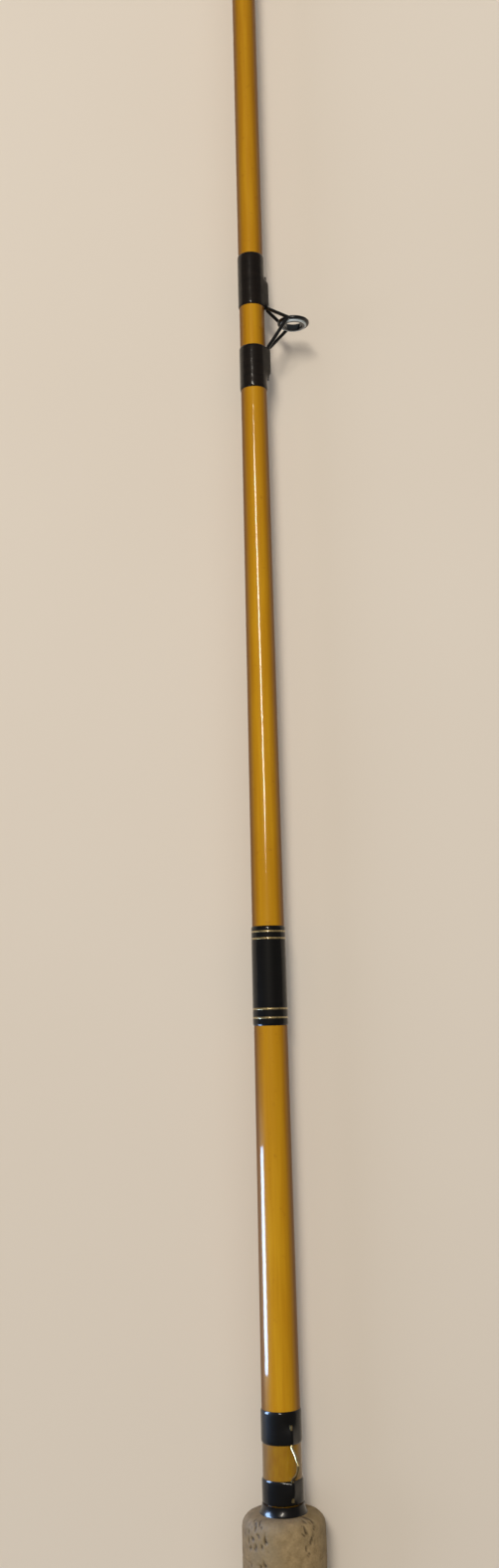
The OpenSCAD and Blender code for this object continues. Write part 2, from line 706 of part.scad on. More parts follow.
module stripping_guide_wraps() {
    legs = 2.2;
    color("#1d1712") difference() {
        union() {
            wrap_over_foot(strip_edges[0] - strip_wraps[0], strip_edges[0],
                strip_edges[0] - strip_foot_length, strip_edges[0] + 1,
                strip_foot_r, strip_foot_height);
            wrap_over_foot(strip_edges[1], strip_edges[1] + strip_wraps[1],
                strip_edges[1] - 1, strip_edges[1] + strip_foot_length,
                strip_foot_r, strip_foot_height);
        }
        // Room for the two legs that start under each wrap
        foot_bar(strip_edges[0] - legs - strip_r, strip_edges[0] + 1, strip_r + 1.0, 0.75);
        foot_bar(strip_edges[1] - 1, strip_edges[1] + legs + strip_r, strip_r + 1.0, 0.75);
    }
}

// Loop radius of snake guide i, from the tip (0) to the grip
function snake_r(i) = snake_loop_r_tip
    + (snake_loop_r - snake_loop_r_tip) * i / (snake_count - 1);
// Half of the room that a snake guide and its two wraps take along the rod
snake_room = snake_loop_length / 2 + snake_foot + 2;
ferrule_zone = [ferrule_y - ferrule_wrap - snake_room - 1, tip_rear + ferrule_wrap + snake_room + 1];
// A place along the rod, moved off the ferrule's wraps if it falls on them
function off_ferrule(y) = y <= ferrule_zone[0] || y >= ferrule_zone[1] ? y
    : y > (ferrule_zone[0] + ferrule_zone[1]) / 2 ? ferrule_zone[1] : ferrule_zone[0];
// The guides stand closer together towards the tip
function snake_y(i) = off_ferrule(rod_tip
    - (rod_tip - strip_y) * pow((i + 1) / (snake_count + 1), snake_spread));
function smooth(f) = f * f * (3 - 2 * f);

// Snake guide i: a wire with a foot at each end and one turn of a wide screw between them
module snake_guide(i) {
    r = snake_wire_d / 2;
    half = snake_loop_length / 2;
    low = rod_r(snake_y(i)) + r + glue_gap + 0.06;
    steps = 28;
    loop = [for (k = [0 : steps]) let (f = k / steps, a = 360 * smooth(f), l = snake_r(i))
        [low + l * (1 - cos(a)), -half + 2 * half * f, l * sin(a)]];
    path = concat([[low, -half - snake_foot, 0], [low, -half - snake_foot / 2, 0]], loop,
        [[low, half + snake_foot / 2, 0], [low, half + snake_foot, 0]]);
    color("#2b2b2b") translate([rod_x, snake_y(i), rod_z]) wire(path, r);
}

// The two wraps of snake guide i
module snake_wraps(i) {
    r = snake_wire_d / 2 + 0.16;
    half = snake_loop_length / 2;
    y = snake_y(i);
    wrap_over_foot(y - half - snake_foot - 2, y - half - 0.6, y - half - snake_foot - 0.2,
        y - half, r, snake_wire_d / 2 + 0.06);
    wrap_over_foot(y + half + 0.6, y + half + snake_foot + 2, y + half,
        y + half + snake_foot + 0.2, r, snake_wire_d / 2 + 0.06);
}

module butt_guide_wraps() {
    color("#1d1712") {
        for (i = [0 : snake_count - 1]) if (snake_y(i) < ferrule_y) snake_wraps(i);
        wrap(ferrule_y - ferrule_wrap, ferrule_y - 0.5);
    }
}

module tip_guide_wraps() {
    color("#1d1712") {
        for (i = [0 : snake_count - 1]) if (snake_y(i) > tip_rear) snake_wraps(i);
        wrap(tip_rear + 0.5, tip_rear + ferrule_wrap);
        wrap(rod_tip - tip_tube_length - 20, rod_tip - tip_tube_length - 4.2);
    }
}

tip_tube_r = tip_r(rod_tip - tip_tube_length - 4) + glue_gap + 0.35;

module tip_tube() {
    y0 = rod_tip - tip_tube_length - 4;
    y1 = rod_tip - 3.6;
    bore = tip_r(y0) + glue_gap;
    color("#2b2b2b") turned([[bore, y0], [tip_tube_r, y0], [tip_tube_r, y1 - 0.4],
        [tip_tube_r - 0.4, y1], [0, y1], [0, blank_front + 0.05], [bore, blank_front + 0.05]], small);
}

// A wire loop that leans forward, with a leg brazed to each side of the tube
module tip_ring() {
    r = 0.45;
    low = tip_tube_r + r + glue_gap;
    lift = low + 0.9 + tip_ring_r;
    loop = [for (a = [135 : -30 : -135])
        [lift + tip_ring_r * cos(a), -r - 0.5 * (1 - cos(a)), tip_ring_r * sin(a)]];
    foot = [[0.2, -tip_tube_length - 2, low], [0.3, -9, low], [0.5, -5.6, low + 0.05],
        [1.3, -3.2, low + 0.1]];
    other = [for (i = [len(foot) - 1 : -1 : 0]) [foot[i][0], foot[i][1], -foot[i][2]]];
    color("#2b2b2b") translate([rod_x, rod_tip, rod_z]) wire(curve(concat(foot, loop, other), 4), r);
}

// ================= reel frame =================

// Places children at radius r and angle a round the spindle
module around(r, a) { rotate([0, 0, a]) translate([r, 0, 0]) children(); }

// A countersunk screw with its head at z = 0 and its shank along +Z
module csk_screw(length = screw_length) {
    difference() {
        union() {
            translate([0, 0, screw_sink])
                cylinder(r1 = screw_head_r, r2 = screw_r, h = screw_head_r - screw_r, $fn = small);
            translate([0, 0, screw_sink]) cylinder(r = screw_r, h = length, $fn = small);
        }
        translate([-screw_head_r, -0.25, 0]) cube([2 * screw_head_r, 0.5, screw_sink + 0.5]);
    }
}

// The hole for such a screw
module csk_hole(length = screw_length) {
    translate([0, 0, -eps])
        cylinder(r = screw_head_r + glue_gap, h = screw_sink + eps, $fn = small);
    translate([0, 0, screw_sink]) cylinder(r1 = screw_head_r + glue_gap, r2 = screw_hole_r,
        h = screw_head_r - screw_r, $fn = small);
    translate([0, 0, screw_sink]) cylinder(r = screw_hole_r, h = length + 0.5, $fn = small);
}

module both_faces() {
    children();
    translate([0, 0, frame_w]) mirror([0, 0, 1]) children();
}

foot_screw_y = 5.5;
foot_block_x = -(frame_r - 3.2);

module at_pillars() { for (a = PILLARS) around(pillar_at, a) children(); }
module at_foot_screws() { for (s = [-1, 1]) translate([foot_block_x, s * foot_screw_y, 0]) children(); }

module back_plate() {
    edge = 0.6;
    color("#232325") difference() {
        union() {
            rotate_extrude($fn = 128) polygon([[0, 0], [frame_r - edge, 0], [frame_r, edge],
                [frame_r, back_t], [0, back_t]]);
            translate([cam_x, cam_y, back_t - 1]) cylinder(r = drag_boss_r, h = drag_boss_h + 1);
        }
        at_pillars() csk_hole();
        at_foot_screws() csk_hole();
        // Pocket and bore for the drag knob
        translate([cam_x, cam_y, -eps]) cylinder(r = drag_knob_d / 2 + free_gap, h = 2.1 + eps);
        translate([cam_x, cam_y, 0])
            cylinder(r = drag_shaft_r + run_gap, h = back_t + drag_boss_h + 1);
        // Blind holes for the spindle's root and the pawls' pins
        translate([0, 0, 1.2]) cylinder(r = spindle_d / 2, h = back_t);
        for (s = [-1, 1]) translate([s * pawl_x, 0, 1.2]) cylinder(r = 1.2, h = back_t, $fn = small);
    }
}

module frame_pillars() {
    color("#2c2c2e") at_pillars() difference() {
        translate([0, 0, back_t]) cylinder(r = pillar_r, h = front_z - back_t);
        both_faces() csk_hole();
    }
}

module front_ring() {
    edge = 0.6;
    color("#232325") difference() {
        rotate_extrude($fn = 128) polygon([[frame_r - ring_w, front_z], [frame_r, front_z],
            [frame_r, frame_w - edge], [frame_r - edge, frame_w],
            [frame_r - ring_w + edge, frame_w], [frame_r - ring_w, frame_w - edge]]);
        translate([0, 0, frame_w]) mirror([0, 0, 1]) {
            at_pillars() csk_hole();
            at_foot_screws() csk_hole();
        }
    }
}

module frame_screws() { color("#8b8b8d") both_faces() at_pillars() csk_screw(); }

module foot_screws() { color("#8b8b8d") both_faces() at_foot_screws() csk_screw(); }

module reel_foot() {
    ri = seat_r + glue_gap;
    block = [4.6, 16];
    stalk = [30, 5.6];
    color("#2c2c2e") {
        difference() {
            translate([foot_block_x - block[0] / 2, -block[1] / 2, back_t])
                cube([block[0], block[1], front_z - back_t]);
            both_faces() at_foot_screws() csk_hole();
            cylinder(r = spool_r + rim_gap, h = frame_w, $fn = 128);
        }
        difference() {
            translate([rod_x + 2, -stalk[0] / 2, rod_z - stalk[1] / 2])
                cube([foot_block_x - rod_x - 2, stalk[0], stalk[1]]);
            turned([[0, -foot_half], [ri, -foot_half], [ri, foot_half], [0, foot_half]]);
            // The block carries the stalk only where it is behind the spool's rim
            cylinder(r = spool_r + rim_gap, h = frame_w, $fn = 128);
        }
        turned_sector([[ri, -foot_half], [ri + foot_end_t, -foot_half], [ri + foot_t, -14],
            [ri + foot_t, 14], [ri + foot_end_t, foot_half], [ri, foot_half]], foot_half_angle);
    }
}

module line_guard() {
    wall = 0.9;
    color("#c9c9cc") around(pillar_at, guard_angle) difference() {
        translate([0, 0, back_t + 0.5]) cylinder(r = pillar_r + glue_gap + wall,
            h = front_z - back_t - 1);
        translate([0, 0, back_t]) cylinder(r = pillar_r + glue_gap, h = front_z - back_t);
        translate([-10 - pillar_r / 2, -5, 0]) cube([10, 10, frame_w]);
    }
}

module spindle() {
    r = spindle_d / 2;
    neck = r - groove_depth;
    groove0 = latch_z - 0.15;
    groove1 = latch_z + latch_t + 0.15;
    color("#b9babd") rotate_extrude() polygon([[0, 1.2], [r, 1.2], [r, back_t], [r + 2.5, back_t],
        [r + 2.5, back_t + 0.7], [r, back_t + 0.7], [r, groove0], [neck, groove0],
        [neck, groove1], [r, groove1], [r, groove1 + 0.2], [r - 0.4, plate_top - 0.2],
        [0, plate_top - 0.2]]);
}

// ================= click and drag =================

// Outline of the click gear, with a gap between teeth at angle 0
function gear_points() = [for (i = [0 : gear_teeth - 1]) let (pitch = 360 / gear_teeth)
    for (p = [[gear_r - tooth_depth, -0.34], [gear_r, -0.11], [gear_r, 0.11],
        [gear_r - tooth_depth, 0.34]])
        let (a = (i + 0.5 + p[1]) * pitch) [p[0] * cos(a), p[0] * sin(a)]];
RIVETS = [0, 120, 240];
rivet_r = 0.8;
rivet_at = bush_r + 2;

module click_gear() {
    color("#a8834a") difference() {
        translate([0, 0, gear_z]) linear_extrude(gear_h) polygon(gear_points());
        translate([0, 0, gear_z - 1]) cylinder(r = bush_r, h = gear_h + 2);
        for (a = RIVETS) around(rivet_at, a) translate([0, 0, gear_z - 1])
            cylinder(r = rivet_r, h = gear_h + 2, $fn = small);
    }
}

module gear_rivets() {
    color("#9a9a9c") for (a = RIVETS) around(rivet_at, a) translate([0, 0, gear_z])
        cylinder(r = rivet_r, h = flange_z + flange_t - gear_z, $fn = small);
}

pawl_bore_r = 1.2 + run_gap;

// A pawl with its pin hole at the origin and its nose towards -X
module pawl() {
    nose = pawl_reach + 1.4;
    color("#8f9093") difference() {
        translate([0, 0, gear_z + 0.2]) linear_extrude(pawl_h)
            polygon([[-nose, -0.15], [-nose, 0.15], [-1.5, 2.8], [2.6, 2.8], [pawl_back, 2],
                [pawl_back, -2], [2.6, -2.8], [-1.5, -2.8]]);
        translate([0, 0, back_t]) cylinder(r = pawl_bore_r, h = gear_h + 2, $fn = small);
    }
}

module click_pawl() { translate([pawl_x, 0, 0]) pawl(); }

module spare_pawl() { translate([-pawl_x, 0, 0]) rotate([0, 0, 75]) pawl(); }

module pawl_pins() {
    color("#b9babd") for (s = [-1, 1]) translate([s * pawl_x, 0, 1.2])
        cylinder(r = 1.2, h = gear_z + gear_h + 0.4 - 1.2, $fn = small);
}

// A flat spring behind each pawl, held by a post on the back plate
module pawl_springs() {
    leaf_z = gear_z + 0.3;
    leaf_h = gear_h - 0.6;
    color("#7d7f86") {
        translate([leaf_x, cam_y - 4, leaf_z]) cube([leaf_t, 13 + 10.5, leaf_h]);
        translate([leaf_x - 1.2, 10.5, back_t]) cube([3, 3, leaf_z + leaf_h - back_t]);
        rotate([0, 0, 180]) {
            translate([leaf_x + 5.4, -7, leaf_z]) cube([leaf_t, 18, leaf_h]);
            translate([leaf_x + 4.2, 10.5, back_t]) cube([3, 3, leaf_z + leaf_h - back_t]);
        }
    }
}

module drag_knob() {
    r = drag_knob_d / 2;
    grips = 20;
    color("#3a3a3d") translate([cam_x, cam_y, 0]) difference() {
        union() {
            translate([0, 0, 0.3]) cylinder(r = r, h = 1.5);
            translate([0, 0, 1]) cylinder(r = drag_shaft_r, h = back_t + drag_boss_h + 2.4 - 1);
        }
        for (i = [0 : grips - 1]) around(r + 0.35, i * 360 / grips) cylinder(r = 0.8, h = 3, $fn = 16);
        translate([-r + 2.5, -0.6, 0]) cube([2 * r - 5, 1.2, 0.8]);
    }
}

module drag_cam() {
    z0 = back_t + drag_boss_h + 0.2;
    color("#a8834a") translate([cam_x, cam_y, z0]) difference() {
        translate([cam_throw, 0, 0]) cylinder(r = cam_r, h = 2);
        translate([0, 0, -1]) cylinder(r = drag_shaft_r, h = 4);
    }
}

// ================= spool =================

module spool() {
    hub_r = hub_d / 2;
    boss_r = rivet_at + rivet_r + 1;
    lip = 0.8;
    rim_z = plate_top + lip;
    vents = 12;
    vent_r = 3.3;
    small_vent_r = 2.2;
    color("#2a2a2d") difference() {
        rotate_extrude($fn = 128) polygon([[bush_r, flange_z - 1.6], [boss_r, flange_z - 1.6],
            [boss_r, flange_z], [spool_r - 0.4, flange_z], [spool_r, flange_z + 0.4],
            [spool_r, flange_z + flange_t], [hub_r + 1, flange_z + flange_t],
            [hub_r, flange_z + flange_t + 1], [hub_r, plate_z - 1], [hub_r + 1, plate_z],
            [spool_r, plate_z], [spool_r, rim_z], [spool_r - 1.8, rim_z], [spool_r - 2.4, plate_top],
            [latch_recess_r, plate_top], [latch_recess_r, latch_recess_z],
            [bush_r, latch_recess_z]]);
        for (i = [0 : vents - 1]) {
            // No hole where the handle and the counterweight sit
            if (i % (vents / 2) != 0) around(handle_x + 0.8, i * 360 / vents)
                translate([0, 0, plate_z - 1]) cylinder(r = vent_r, h = plate_t + 3, $fn = small);
            around(handle_x - 8.5, (i + 0.5) * 360 / vents)
                translate([0, 0, plate_z - 1]) cylinder(r = small_vent_r, h = plate_t + 3, $fn = small);
            around(spool_r - 7, i * 360 / vents)
                translate([0, 0, flange_z - 1]) cylinder(r = vent_r, h = flange_t + 2, $fn = small);
        }
        for (s = [-1, 1]) translate([s * handle_x, 0, plate_z - 1])
            cylinder(r = post_d / 2 - 0.5, h = plate_t + 3, $fn = small);
        for (s = [-1, 1]) translate([0, s * (cover_r - 1.7), plate_top - 1.6])
            cylinder(r = 0.7, h = 3, $fn = small);
        for (a = RIVETS) around(rivet_at, a) translate([0, 0, flange_z - 2])
            cylinder(r = rivet_r, h = flange_t + 2, $fn = small);
        // Seat for the end of the latch spring
        translate([latch_recess_r - 1, -2, latch_z]) cube([1.6, 4, latch_t]);
    }
}

module spool_bush() {
    color("#a8834a") rotate_extrude() polygon([[spindle_d / 2 + run_gap, back_t + 0.9],
        [bush_r, back_t + 0.9], [bush_r, latch_recess_z], [spindle_d / 2 + run_gap, latch_recess_z]]);
}

module latch_slide() {
    r = spindle_d / 2;
    half = latch_w / 2;
    tail = -9;
    nose = 6.4;
    color("#b9babd") difference() {
        union() {
            translate([tail, -half, latch_z]) cube([nose - tail, latch_w, latch_t]);
            translate([-8.4, -1.5, latch_z]) cube([2, 3, cover_t + latch_t + 2.4]);
        }
        translate([-latch_travel, 0, latch_z - 1]) cylinder(r = r + 0.15, h = 3);
        translate([0, 0, latch_z - 1]) cylinder(r = r - groove_depth + 0.25, h = 3);
        translate([-latch_travel, -(r - groove_depth + 0.25), latch_z - 1])
            cube([latch_travel, 2 * (r - groove_depth + 0.25), 3]);
    }
}

// A bowed leaf from its seat in the spool to the end of the slide
module latch_spring() {
    leaf = 0.3;
    color("#7d7f86") {
        translate([6.5, -1.6, latch_z + 0.1]) cube([leaf, 3.2, latch_t - 0.2]);
        translate([6.5 + leaf, 1.0, latch_z + 0.1]) cube([latch_recess_r - 6.6, 0.6, latch_t - 0.2]);
        translate([latch_recess_r - 0.1, -1.6, latch_z + 0.1]) cube([0.4, 3.2, latch_t - 0.2]);
    }
}

module latch_cover() {
    slot = [latch_travel + 2.6, 3.6];
    color("#38383b") difference() {
        rotate_extrude() polygon([[0, plate_top], [cover_r, plate_top],
            [cover_r, plate_top + cover_t - 0.5], [cover_r - 0.5, plate_top + cover_t],
            [0, plate_top + cover_t]]);
        translate([-8.7, -slot[1] / 2, plate_top - 1]) cube([slot[0], slot[1], cover_t + 2]);
        for (s = [-1, 1]) translate([0, s * (cover_r - 1.7), plate_top - 1])
            cylinder(r = 0.75, h = cover_t + 2, $fn = small);
    }
}

module latch_screws() {
    color("#b9babd") for (s = [-1, 1]) translate([0, s * (cover_r - 1.7), 0]) difference() {
        union() {
            translate([0, 0, plate_top - 1.5]) cylinder(r = 0.68, h = cover_t + 1.6, $fn = small);
            translate([0, 0, plate_top + cover_t]) cylinder(r = 1.3, h = 0.7, $fn = small);
        }
        translate([-1.5, -0.2, plate_top + cover_t + 0.35]) cube([3, 0.4, 1]);
    }
}

module handle_post() {
    r = post_d / 2;
    color("#b9babd") translate([handle_x, 0, 0]) rotate_extrude($fn = small)
        polygon([[0, plate_z], [r - 0.5, plate_z], [r - 0.5, plate_top], [r + 1.6, plate_top],
            [r + 1.6, shoulder_z], [r, shoulder_z], [r, post_top], [r + 1.2, post_top],
            [r + 1.2, post_top + 0.8], [r + 0.7, post_top + 1.3], [0, post_top + 1.3]]);
}

module handle_knob() {
    r = knob_d / 2;
    l = knob_length;
    bore = post_d / 2 + run_gap;
    steps = 14;
    // Slender near the spool, swelling to its full radius at three quarters of its length
    outline = [for (k = [1 : steps - 1]) let (f = k / steps)
        [r * (0.86 - 0.14 * sin(360 * (f - 0.06))) * sqrt(1 - pow(abs(2 * f - 1), 8)),
            knob_z + l * f]];
    color("#191817") translate([handle_x, 0, 0]) rotate_extrude() polygon(concat(
        [[bore, knob_z], [r * 0.62, knob_z]], outline, [[r * 0.66, knob_z + l], [bore, knob_z + l]]));
}

module counterweight() {
    color("#b9babd") translate([-handle_x, 0, 0]) rotate_extrude($fn = small)
        polygon([[0, plate_z], [post_d / 2 - 0.5, plate_z], [post_d / 2 - 0.5, plate_top],
            [5.6, plate_top], [5.6, plate_top + 1.6], [4.8, plate_top + 2.4],
            [0, plate_top + 2.8]]);
}

// ================= what is drawn =================

butt_blank();
ferrule_spigot();
butt_cork_rings();
butt_cap();
seat_barrel();
seat_arbors();
fixed_hood();
sliding_hood();
lock_nut();
grip_cork_rings();
winding_check();
hook_keeper();
keeper_wraps();
trim_wrap();
trim_bands();
stripping_guide_frame();
stripping_guide_shock_ring();
stripping_guide_ring();
stripping_guide_wraps();
butt_guide_wraps();
tip_blank();
tip_guide_wraps();
tip_tube();
tip_ring();
reel_foot();
foot_screws();
back_plate();
frame_pillars();
front_ring();
frame_screws();
line_guard();
spindle();
drag_knob();
drag_cam();
click_pawl();
spare_pawl();
pawl_pins();
pawl_springs();
spool();
spool_bush();
click_gear();
gear_rivets();
latch_slide();
latch_spring();
latch_cover();
latch_screws();
handle_post();
handle_knob();
counterweight();
for (i = [0 : snake_count - 1]) snake_guide(i);
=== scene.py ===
# %% [markdown]
# # A glass-fibre fly rod and its reel
# The rod lies level, held off the floor by the reel, which lies flat on its back plate just behind
# the view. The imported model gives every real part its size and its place. This lesson dresses
# those parts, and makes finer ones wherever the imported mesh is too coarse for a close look.

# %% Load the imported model
import json
import math

import bpy
from mathutils import Matrix, Vector, noise


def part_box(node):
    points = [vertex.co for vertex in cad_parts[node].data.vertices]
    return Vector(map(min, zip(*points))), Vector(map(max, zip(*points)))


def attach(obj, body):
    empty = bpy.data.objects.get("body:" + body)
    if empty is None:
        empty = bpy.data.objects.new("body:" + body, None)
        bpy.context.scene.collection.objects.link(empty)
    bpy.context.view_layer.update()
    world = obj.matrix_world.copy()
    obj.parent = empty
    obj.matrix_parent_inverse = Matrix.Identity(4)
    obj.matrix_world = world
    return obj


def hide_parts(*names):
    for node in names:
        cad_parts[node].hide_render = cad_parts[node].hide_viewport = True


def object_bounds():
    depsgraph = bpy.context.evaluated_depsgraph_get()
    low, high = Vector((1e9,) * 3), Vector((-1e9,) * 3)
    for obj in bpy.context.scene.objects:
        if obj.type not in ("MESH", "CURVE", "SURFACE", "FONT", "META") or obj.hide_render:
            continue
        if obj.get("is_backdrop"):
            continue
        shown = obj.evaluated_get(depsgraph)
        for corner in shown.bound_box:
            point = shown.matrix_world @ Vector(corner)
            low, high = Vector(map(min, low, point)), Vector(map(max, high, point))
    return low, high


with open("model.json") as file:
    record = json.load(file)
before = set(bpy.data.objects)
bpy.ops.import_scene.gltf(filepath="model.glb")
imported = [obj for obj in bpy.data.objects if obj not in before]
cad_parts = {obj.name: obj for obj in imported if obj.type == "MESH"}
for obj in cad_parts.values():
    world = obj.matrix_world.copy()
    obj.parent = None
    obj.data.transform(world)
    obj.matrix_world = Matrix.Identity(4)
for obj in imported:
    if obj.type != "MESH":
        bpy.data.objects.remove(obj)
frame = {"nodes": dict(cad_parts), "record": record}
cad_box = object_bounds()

MM = 0.001

# %% [markdown]
# ## Where the rod lies
# Everything on the rod is round about one long axis, so one line is measured first: the middle of
# the reel seat's barrel. Positions along the rod are y values in metres.

# %% The rod's axis
barrel_low, barrel_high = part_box("seat_barrel")
AXIS_X = (barrel_low.x + barrel_high.x) / 2
AXIS_Z = (barrel_low.z + barrel_high.z) / 2
print("rod axis at x", round(AXIS_X / MM, 3), "z", round(AXIS_Z / MM, 3))


def radii_at(node, y):
    """Smallest and largest distance from the axis of a turned part's vertices at y"""
    radii = [math.hypot(v.co.x - AXIS_X, v.co.z - AXIS_Z)
             for v in frame["nodes"][node].data.vertices if abs(v.co.y - y) < 0.02 * MM]
    return min(radii), max(radii)


grip_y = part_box("winding_check")[0].y
trim_low, trim_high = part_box("trim_wrap")[0].y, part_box("trim_wrap")[1].y
strip_ring_low, strip_ring_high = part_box("stripping_guide_ring")
STRIP_Y = (strip_ring_low.y + strip_ring_high.y) / 2
butt_ends = [corner.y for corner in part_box("butt_blank")]
tip_ends = [corner.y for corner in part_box("tip_blank")]
# The blank changes its taper at these places
butt_knots = [(y, *radii_at("butt_blank", y)) for y in
              (butt_ends[0], grip_y, trim_high, STRIP_Y, butt_ends[1])]
tip_knots = [(y, *radii_at("tip_blank", y)) for y in tip_ends]


def rod_r(y):
    """Radius of whichever blank lies at y"""
    knots = tip_knots if y > tip_ends[0] else butt_knots
    for (y0, _, r0), (y1, _, r1) in zip(knots, knots[1:]):
        if y <= y1:
            return r0 + (r1 - r0) * max(0, y - y0) / (y1 - y0)
    return knots[-1][2]


print("blank at the grip: diameter", round(2 * rod_r(grip_y) / MM, 2), "mm")

# %% [markdown]
# ## Turning a shape on a lathe
# A blank, a wrap, a cork ring and a check are all turned shapes. A half outline is laid down point
# by point, as with the extrude tool, and the spin tool takes it once round the rod's axis. One
# helper does this, because almost every part of a rod is made this way.

# %% Small tools for modelling
def nothing_selected():
    """Leaves edit mode and deselects everything, so that a tool acts on one piece only"""
    if bpy.context.mode != "OBJECT":
        bpy.ops.object.mode_set(mode="OBJECT")
    bpy.ops.object.select_all(action="DESELECT")


def take(piece):
    nothing_selected()
    piece.select_set(True)
    bpy.context.view_layer.objects.active = piece


def joined(pieces, name):
    """Joins several shells, which stay separate shells, into one piece"""
    nothing_selected()
    for piece in pieces:
        piece.select_set(True)
    bpy.context.view_layer.objects.active = pieces[0]
    if len(pieces) > 1:
        bpy.ops.object.join()
    pieces[0].name = name
    return pieces[0]


def smooth(piece, degrees=35):
    take(piece)
    bpy.ops.object.shade_smooth_by_angle(angle=math.radians(degrees), keep_sharp_edges=False)


def turn(name, outline, steps=96, closed=True, centre=None):
    """Spins an outline of (y, radius) points round the rod, or round a parallel axis at centre"""
    axis_x, axis_z = centre or (AXIS_X, AXIS_Z)
    nothing_selected()
    bpy.ops.mesh.primitive_plane_add(size=MM, location=(0, 0, 0))
    piece = bpy.context.object
    piece.name = name
    bpy.ops.object.mode_set(mode="EDIT")
    bpy.ops.mesh.select_all(action="SELECT")
    bpy.ops.mesh.merge(type="CENTER")
    corners = [Vector((axis_x, y, axis_z + r)) for y, r in outline]
    bpy.ops.transform.translate(value=corners[0])
    for here, there in zip(corners, corners[1:]):
        bpy.ops.mesh.extrude_region_move(TRANSFORM_OT_translate={"value": there - here})
    if closed:
        bpy.ops.mesh.select_all(action="SELECT")
        bpy.ops.object.mode_set(mode="OBJECT")
        count = len(piece.data.vertices)
        for vertex in piece.data.vertices:
            vertex.select = vertex.index in (0, count - 1)
        for edge in piece.data.edges:
            edge.select = False
        bpy.ops.object.mode_set(mode="EDIT")
        bpy.ops.mesh.edge_face_add()
    bpy.ops.mesh.select_all(action="SELECT")
    bpy.ops.mesh.spin(steps=steps, angle=math.tau, center=(axis_x, 0, axis_z), axis=(0, 1, 0))
    bpy.ops.mesh.select_all(action="SELECT")
    bpy.ops.mesh.remove_doubles(threshold=1e-7)
    bpy.ops.mesh.normals_make_consistent(inside=False)
    nothing_selected()
    return piece


WIRE_SIDES = 5


def wire(name, points, radius):
    """A round wire through points: a smooth curve with a round bevel, made into a mesh"""
    nothing_selected()
    bpy.ops.curve.primitive_nurbs_path_add(location=(0, 0, 0))
    piece = bpy.context.object
    piece.name = name
    curve = piece.data
    curve.splines.clear()
    spline = curve.splines.new("NURBS")
    spline.points.add(len(points) - 1)
    for slot, point in zip(spline.points, points):
        slot.co = (*point, 1)
    spline.use_endpoint_u, spline.order_u = True, 3
    spline.resolution_u = 6
    curve.bevel_depth, curve.bevel_resolution, curve.use_fill_caps = radius, WIRE_SIDES, True
    take(piece)
    bpy.ops.object.convert(target="MESH")
    bpy.ops.object.mode_set(mode="EDIT")
    bpy.ops.mesh.select_all(action="SELECT")
    bpy.ops.mesh.remove_doubles(threshold=1e-7)
    bpy.ops.mesh.normals_make_consistent(inside=False)
    nothing_selected()
    smooth(piece, 50)
    return piece


# %% [markdown]
# ## Making a finish
# Each finish is a small tree of shader nodes. One helper adds a node, sets its sockets and links
# it. Colours are the ordinary hex values that a paint chart gives, turned to the linear values
# that Blender works in.

# %% Tools for finishes
def linear(hex_colour):
    """An sRGB hex colour as linear red, green, blue and alpha"""
    channels = [int(hex_colour[i:i + 2], 16) / 255 for i in (1, 3, 5)]
    return (*[c / 12.92 if c <= 0.04045 else ((c + 0.055) / 1.055) ** 2.4 for c in channels], 1)


def new_finish(name):
    finish = bpy.data.materials.new(name)
    finish.use_nodes = True
    finish.node_tree.nodes.clear()
    return finish


def add(finish, kind, sockets=None, **settings):
    """Adds one shader node. A socket's value is a number, a colour, or another node's output."""
    node = finish.node_tree.nodes.new("ShaderNode" + kind)
    for key, value in settings.items():
        setattr(node, key, value)
    for key, value in (sockets or {}).items():
        if isinstance(value, bpy.types.NodeSocket):
            finish.node_tree.links.new(value, node.inputs[key])
        else:
            node.inputs[key].default_value = value
    return node


def per_mm(millimetres):
    """Noise scale whose features are about this many millimetres across"""
    return 1 / (millimetres * MM)


def place(finish, stretch=(1, 1, 1), offset=(0, 0, 0)):
    """Object coordinates, squeezed by stretch: a small number makes a pattern long that way"""
    coords = add(finish, "TexCoord")
    return add(finish, "Mapping", {"Vector": coords.outputs["Object"], "Scale": stretch,
                                   "Location": offset}).outputs["Vector"]


# The Mix node's colour sockets, by number, and how far apart the Wave texture's bands are
MIX_A, MIX_B, MIX_RESULT = 6, 7, 2
WAVE = 6.283


def blend_colours(finish, amount, first, second, how="MIX"):
    mixed = add(finish, "Mix", {0: amount, MIX_A: first, MIX_B: second}, data_type="RGBA",
                blend_type=how)
    return mixed.outputs[MIX_RESULT]


def between(finish, value, low, high, to_low=0.0, to_high=1.0):
    """The value stretched from low..high to to_low..to_high, and held there"""
    return add(finish, "MapRange", {"Value": value, "From Min": low, "From Max": high,
                                    "To Min": to_low, "To Max": to_high}).outputs["Result"]


def close_finish(finish, **sockets):
    """The shader itself and the material output"""
    shader = add(finish, "BsdfPrincipled", {k.replace("_", " "): v for k, v in sockets.items()})
    add(finish, "OutputMaterial", {"Surface": shader.outputs["BSDF"]})
    return finish
